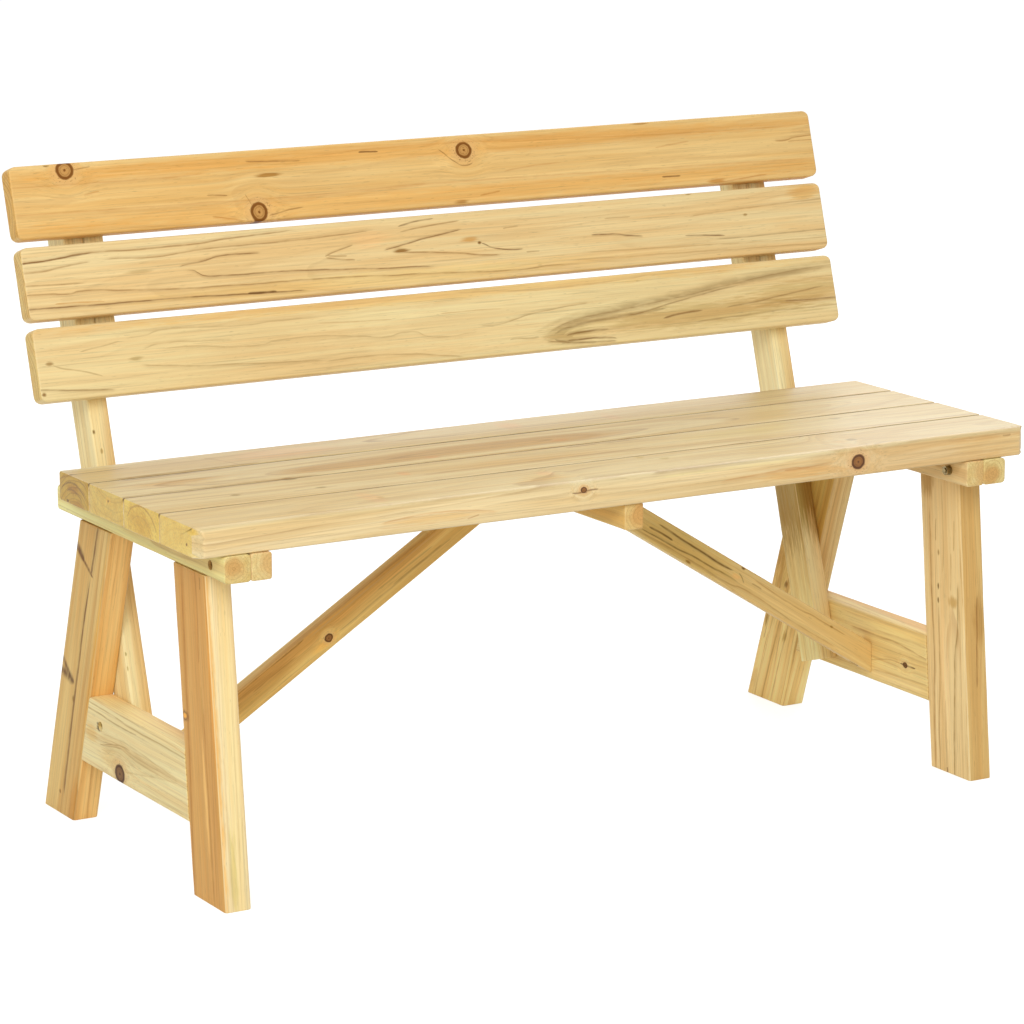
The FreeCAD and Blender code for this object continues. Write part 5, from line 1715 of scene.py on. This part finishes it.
@dataclass
class SideFrame:
    """A rail with its two splayed legs and the stretcher between them."""

    side: Side
    front_splay: float = 5.7
    rear_splay: float = 18.5
    leg_width: float = 80.0
    rail_arris: float = 4.0
    leg_arris: float = 3.0
    stretcher_arris: float = 3.0
    end_arris: float = 1.5
    leg_end_arris: float = 0.8

    def leg(self, name: str, splay: float, growth: Growth, tone: Tone, seed: int) -> Board:
        """Describe a leg, which is sawn level at its head and foot.

        Args:
            name: Its node.
            splay: How far its head leans back, in degrees.
            growth: How it was sawn.
            tone: Its colours.
            seed: Its random seed.

        Returns:
            The piece.
        """
        lean = math.radians(splay)
        span = span_of(name)
        reach = span[2] / 2 / math.cos(lean)
        cut = (EndCut(reach, -math.tan(lean)),)
        return Board(
            Timber(name, Slot.FRAME, middle_of(name), (0, math.sin(lean), math.cos(lean)),
                   (0, -math.cos(lean), math.sin(lean)), self.leg_width, span[0], cut, cut,
                   (self.leg_arris,) * 4, self.leg_end_arris, ("leg_screws", "stretcher_screws"),
                   seed=seed),
            growth, tone,
        )

    def stretcher(self) -> Board:
        """Describe the stretcher, whose ends follow the legs' slopes."""
        name = f"stretcher_{self.side.word}"
        low, high = box_mm(name)
        height = high[2] - low[2]
        front, rear = math.tan(math.radians(self.front_splay)), -math.tan(math.radians(self.rear_splay))
        start, finish = low[1] + front * height / 2, high[1] + rear * height / 2
        middle = ((low[0] + high[0]) / 2, (start + finish) / 2, (low[2] + high[2]) / 2)
        reach = (finish - start) / 2
        return Board(
            Timber(name, Slot.FRAME, middle, (0, 1, 0), (0, 0, 1), height, high[0] - low[0],
                   (EndCut(reach, front),), (EndCut(reach, rear),), (self.stretcher_arris,) * 4,
                   self.leg_end_arris, ("stretcher_screws", "brace_foot_screws", "frame_bolts"),
                   seed=31 + self.side.value),
            Growth(pith=(60.0, 12.0), drift=(0.02, 0.02), heart=20.0, contrast=0.5),
            Tone((248, 232, 174), (238, 212, 150), (186, 140, 80), (236, 196, 132), (118, 74, 22),
                 (76, 42, 6), (228, 190, 130)),
        )

    def rail(self) -> Board:
        """Describe the rail that carries the seat's end."""
        name = f"top_rail_{self.side.word}"
        span = span_of(name)
        cut = (EndCut(span[1] / 2),)
        return Board(
            Timber(name, Slot.FRAME, middle_of(name), (0, 1, 0), (0, 0, 1), span[2], span[0], cut, cut,
                   (self.rail_arris,) * 4, self.end_arris,
                   ("cleat_screws", "upright_screws", "leg_screws", "frame_bolts"),
                   seed=41 + self.side.value),
            Growth(pith=(2.0, -3.0), drift=(0.01, 0.01), spacing=4.5, swirl=6.0, heart=10.0, ends=0.45),
            Tone((236, 220, 156), (222, 198, 128), (176, 132, 74), (218, 178, 112)),
        )

    def build(self, joiner: Joiner) -> None:
        """Make the rail, the legs and the stretcher."""
        word, number = self.side.word, self.side.value
        legs = (
            self.leg(f"front_leg_{word}", self.front_splay,
                     Growth(pith=(20.0, 60.0), drift=(0.02, 0.02), heart=30.0,
                            contrast=0.2 if self.side is Side.LEFT else 0.42, streak=0.35),
                     Tone((252, 230, 176), (240, 208, 148), (194, 142, 80), (236, 194, 130),
                          (240, 206, 156), (86, 54, 22), (222, 178, 120)),
                     51 + number),
            self.leg(f"rear_leg_{word}", -self.rear_splay,
                     Growth(pith=(-30.0, 50.0), drift=(0.03, 0.02), spacing=6.5, heart=40.0),
                     Tone((238, 210, 148), (222, 180, 112), (174, 122, 62), (216, 166, 98)), 61 + number),
        )
        for board in (*legs, self.rail(), self.stretcher()):
            joiner.make(board)


@dataclass
class Backrest:
    """Three leaning boards on two uprights, each with a batten beside it."""

    lean: float = 17.0
    board_height: float = 85.0
    board_thickness: float = 24.0
    board_corner: float = 9.0
    board_arris: float = 2.5
    upright_depth: float = 48.0
    upright_length: float = 683.4
    batten_depth: float = 30.5
    batten_length: float = 260.4
    post_arris: float = 2.5
    batten_arris: float = 2.0
    post_end_arris: float = 0.8

    def posts(self, side: Side) -> list[Board]:
        """Describe the upright and the batten of one side."""
        lean = math.radians(self.lean)
        along = (0, math.sin(lean), math.cos(lean))
        across = (0, -math.cos(lean), math.sin(lean))
        boards = []
        for word, depth, length, arris, drills in (
            ("upright", self.upright_depth, self.upright_length, self.post_arris,
             ("upright_screws", "batten_screws", "frame_bolts")),
            ("batten", self.batten_depth, self.batten_length, self.batten_arris,
             ("batten_screws", "board_screws")),
        ):
            name = f"back_{word}_{side.word}"
            cut = (EndCut(length / 2),)
            boards.append(Board(
                Timber(name, Slot.FRAME, middle_of(name), along, across, depth, span_of(name)[0], cut, cut,
                       (arris,) * 4, self.post_end_arris, drills, seed=71 + 3 * side.value + len(word)),
                Growth(pith=(24.0, 20.0), drift=(0.02, 0.01), spacing=5.0, swirl=8.0, heart=15.0),
                Tone((254, 240, 186), (244, 218, 154), (196, 154, 92), (240, 206, 142)),
            ))
        return boards

    def boards(self) -> list[Board]:
        """Describe the three boards, from the lowest."""
        lean = math.radians(self.lean)
        across = (0, math.sin(lean), math.cos(lean))
        growths = (
            Growth(pith=(15.0, -55.0), drift=(0.05, 0.01), spacing=6.5, swirl=14.0, heart=-30.0,
                   contrast=0.15, streak=0.3),
            Growth(pith=(-10.0, -45.0), drift=(0.02, 0.02), spacing=5.5, swirl=12.0, heart=-30.0,
                   contrast=0.16, streak=0.35),
            Growth(pith=(0.0, -50.0), drift=(0.02, 0.01), heart=-30.0, contrast=0.2, streak=0.35),
        )
        tones = (
            Tone((240, 218, 160), (234, 202, 142), (180, 142, 82), (196, 164, 104)),
            Tone((240, 215, 158), (234, 198, 136), (150, 106, 52), (230, 192, 124)),
            Tone((238, 202, 134), (230, 184, 110), (176, 116, 52), (226, 176, 102)),
        )
        boards = []
        words = ("bottom", "middle", "top")
        for number, (word, growth, tone) in enumerate(zip(words, growths, tones)):
            name = f"back_board_{word}"
            cut = (EndCut(span_of(name)[0] / 2),)
            boards.append(Board(
                Timber(name, Slot.BACK, middle_of(name), (1, 0, 0), across, self.board_height,
                       self.board_thickness, cut, cut, (self.board_arris,) * 4, self.board_arris,
                       ("board_screws",), corner=self.board_corner, seed=81 + number),
                growth, tone,
            ))
        return boards

    def build(self, joiner: Joiner) -> None:
        """Make the posts and the boards."""
        for board in self.boards() + self.posts(Side.LEFT) + self.posts(Side.RIGHT):
            joiner.make(board)


@dataclass
class Braces:
    """Two slanting braces from the stretchers up to the centre cleat."""

    width: float = 33.0
    angle: float = 31.97
    arris: float = 2.0
    end_arris: float = 0.8

    def brace(self, side: Side) -> Board:
        """Describe one brace, sawn upright at its foot and both level and upright at its head."""
        name = f"brace_{side.word}"
        low, high = box_mm(name)
        slope = math.radians(self.angle)
        sine, cosine, tangent = math.sin(slope), math.cos(slope), math.tan(slope)
        half_run = (high[0] - low[0]) / 2
        middle_z = low[2] + self.width / 2 / cosine + half_run * tangent
        middle = ((low[0] + high[0]) / 2, (low[1] + high[1]) / 2, middle_z)
        upright = EndCut(half_run / cosine, tangent)
        level = EndCut((high[2] - middle_z) / sine, -1 / tangent)
        return Board(
            Timber(name, Slot.FRAME, middle, (-side.value * cosine, 0, sine),
                   (side.value * sine, 0, cosine), self.width, high[1] - low[1],
                   (upright,), (upright, level), (self.arris,) * 4,
                   self.end_arris, ("brace_head_screws", "brace_foot_screws"), seed=91 + side.value),
            Growth(pith=(20.0, 25.0), drift=(0.02, 0.01), spacing=5.0, swirl=8.0, heart=20.0, contrast=0.3),
            Tone((244, 218, 152), (230, 194, 124), (168, 118, 60), (220, 176, 108), (150, 100, 48),
                 (98, 62, 24)),
        )

    def build(self, joiner: Joiner) -> None:
        """Make both braces."""
        for side in Side:
            joiner.make(self.brace(side))


@dataclass(frozen=True)
class Lamp:
    """A square lamp: where it hangs, what it points at and its side, all in metres, and its watts."""

    name: str
    place: Triple
    target: Triple
    size: float
    power: float

    def hang(self) -> None:
        """Hang the lamp and turn it to its target."""
        data = bpy.data.lights.new(self.name, "AREA")
        data.size = self.size
        data.energy = self.power
        lamp = bpy.data.objects.new(self.name, data)
        bpy.context.scene.collection.objects.link(lamp)
        lamp.location = self.place
        aim = Vector(self.target) - Vector(self.place)
        lamp.rotation_euler = aim.to_track_quat("-Z", "Y").to_euler()


@dataclass
class Studio:
    """Camera, lamps and a white floor at the photograph's viewing angle.

    The world gives light all round, and backdrop is what the camera sees beyond it. The floor is
    a little darker for the camera than for the bench, and glow brings it back to white.
    """

    camera_place: Triple = (-2.2992, -3.9189, 1.3400)
    camera_lift: float = 77.593
    camera_turn: float = -30.331
    camera_roll: float = -0.059
    lens: float = 137.647
    sensor: float = 36.0
    far_end: float = 100.0
    lamps: tuple[Lamp, ...] = (Lamp("key", (-2.4, -3.2, 3.0), (0.0, 0.0, 0.3), 2.4, 104.0),
                               Lamp("back", (2.6, 2.6, 3.2), (0.0, 0.0, 0.4), 2.6, 60.0))
    light: float = 0.59
    backdrop: float = 0.41
    floor_steps: int = 64
    floor_radius: float = 14.0
    floor_grey: float = 0.8
    floor_seen: float = 0.5
    floor_glow: float = 0.74

    def build(self) -> None:
        """Set everything up."""
        scene = bpy.context.scene
        scene.view_settings.view_transform = "Standard"
        scene.camera = self.camera()
        self.world()
        self.floor()
        for lamp in self.lamps:
            lamp.hang()

    def camera(self) -> bpy.types.Object:
        """Place the camera and give it back."""
        data = bpy.data.cameras.new("camera")
        data.lens = self.lens
        data.sensor_width = self.sensor
        data.clip_end = self.far_end
        camera = bpy.data.objects.new("camera", data)
        bpy.context.scene.collection.objects.link(camera)
        turn = Euler((math.radians(self.camera_lift), 0.0, math.radians(self.camera_turn))).to_matrix()
        roll = Matrix.Rotation(math.radians(self.camera_roll), 3, "Z")
        camera.matrix_world = Matrix.Translation(self.camera_place) @ (turn @ roll).to_4x4()
        return camera

    def seen(self, graph: Graph) -> Socket:
        """Tell whether a ray comes from the camera, a reflection or a clear material."""
        path = graph.node("ShaderNodeLightPath", {}).outputs
        seen = graph.math("MAXIMUM", path["Is Camera Ray"], path["Is Glossy Ray"])
        return graph.math("MAXIMUM", seen, path["Is Transmission Ray"])

    def world(self) -> None:
        """Light the bench evenly, and show plain white behind it."""
        world = bpy.data.worlds.new("studio")
        bpy.context.scene.world = world
        world.use_nodes = True
        graph = Graph(world.node_tree)
        background = world.node_tree.nodes["Background"]
        background.inputs["Color"].default_value = WHITE
        strength = graph.linear(self.seen(graph), self.backdrop, self.light)
        graph.feed(background.inputs["Strength"], strength)

    def floor(self) -> None:
        """Lay a round white floor that keeps a soft shadow."""
        steps = self.floor_steps
        angle = np.arange(steps) * 2 * math.pi / steps
        points = np.column_stack([np.cos(angle), np.sin(angle), np.zeros(steps)]) * self.floor_radius
        mesh = bpy.data.meshes.new("floor")
        mesh.from_pydata(points.tolist(), [], [list(range(steps))])
        floor = bpy.data.objects.new("floor", mesh)
        bpy.context.scene.collection.objects.link(floor)
        made = bpy.data.materials.new("floor_white")
        made.use_nodes = True
        made.node_tree.nodes.clear()
        graph = Graph(made.node_tree)
        seen = self.seen(graph)
        shown = graph.mix(seen, (*(self.floor_grey,) * 3, 1.0), (*(self.floor_seen,) * 3, 1.0))
        matt = graph.node("ShaderNodeBsdfDiffuse", {"Color": shown})
        strength = graph.times(seen, self.floor_glow)
        glow = graph.node("ShaderNodeEmission", {"Color": WHITE, "Strength": strength})
        both = graph.node("ShaderNodeAddShader", {0: matt.outputs[0], 1: glow.outputs[0]})
        graph.node("ShaderNodeOutputMaterial", {"Surface": both.outputs[0]})
        mesh.materials.append(made)


def main() -> None:
    """Build the studio and the bench."""
    logging.basicConfig(level=logging.INFO, format="%(name)s %(levelname)s %(message)s", stream=sys.stdout)
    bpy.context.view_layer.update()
    Studio().build()
    wood = Softwood()
    wood.prepare()
    fasteners = Fasteners()
    joiner = Joiner(wood, fasteners)
    Seat().build(joiner)
    for side in Side:
        SideFrame(side).build(joiner)
    Backrest().build(joiner)
    Braces().build(joiner)
    fasteners.dress()


if __name__ == "__main__":
    main()
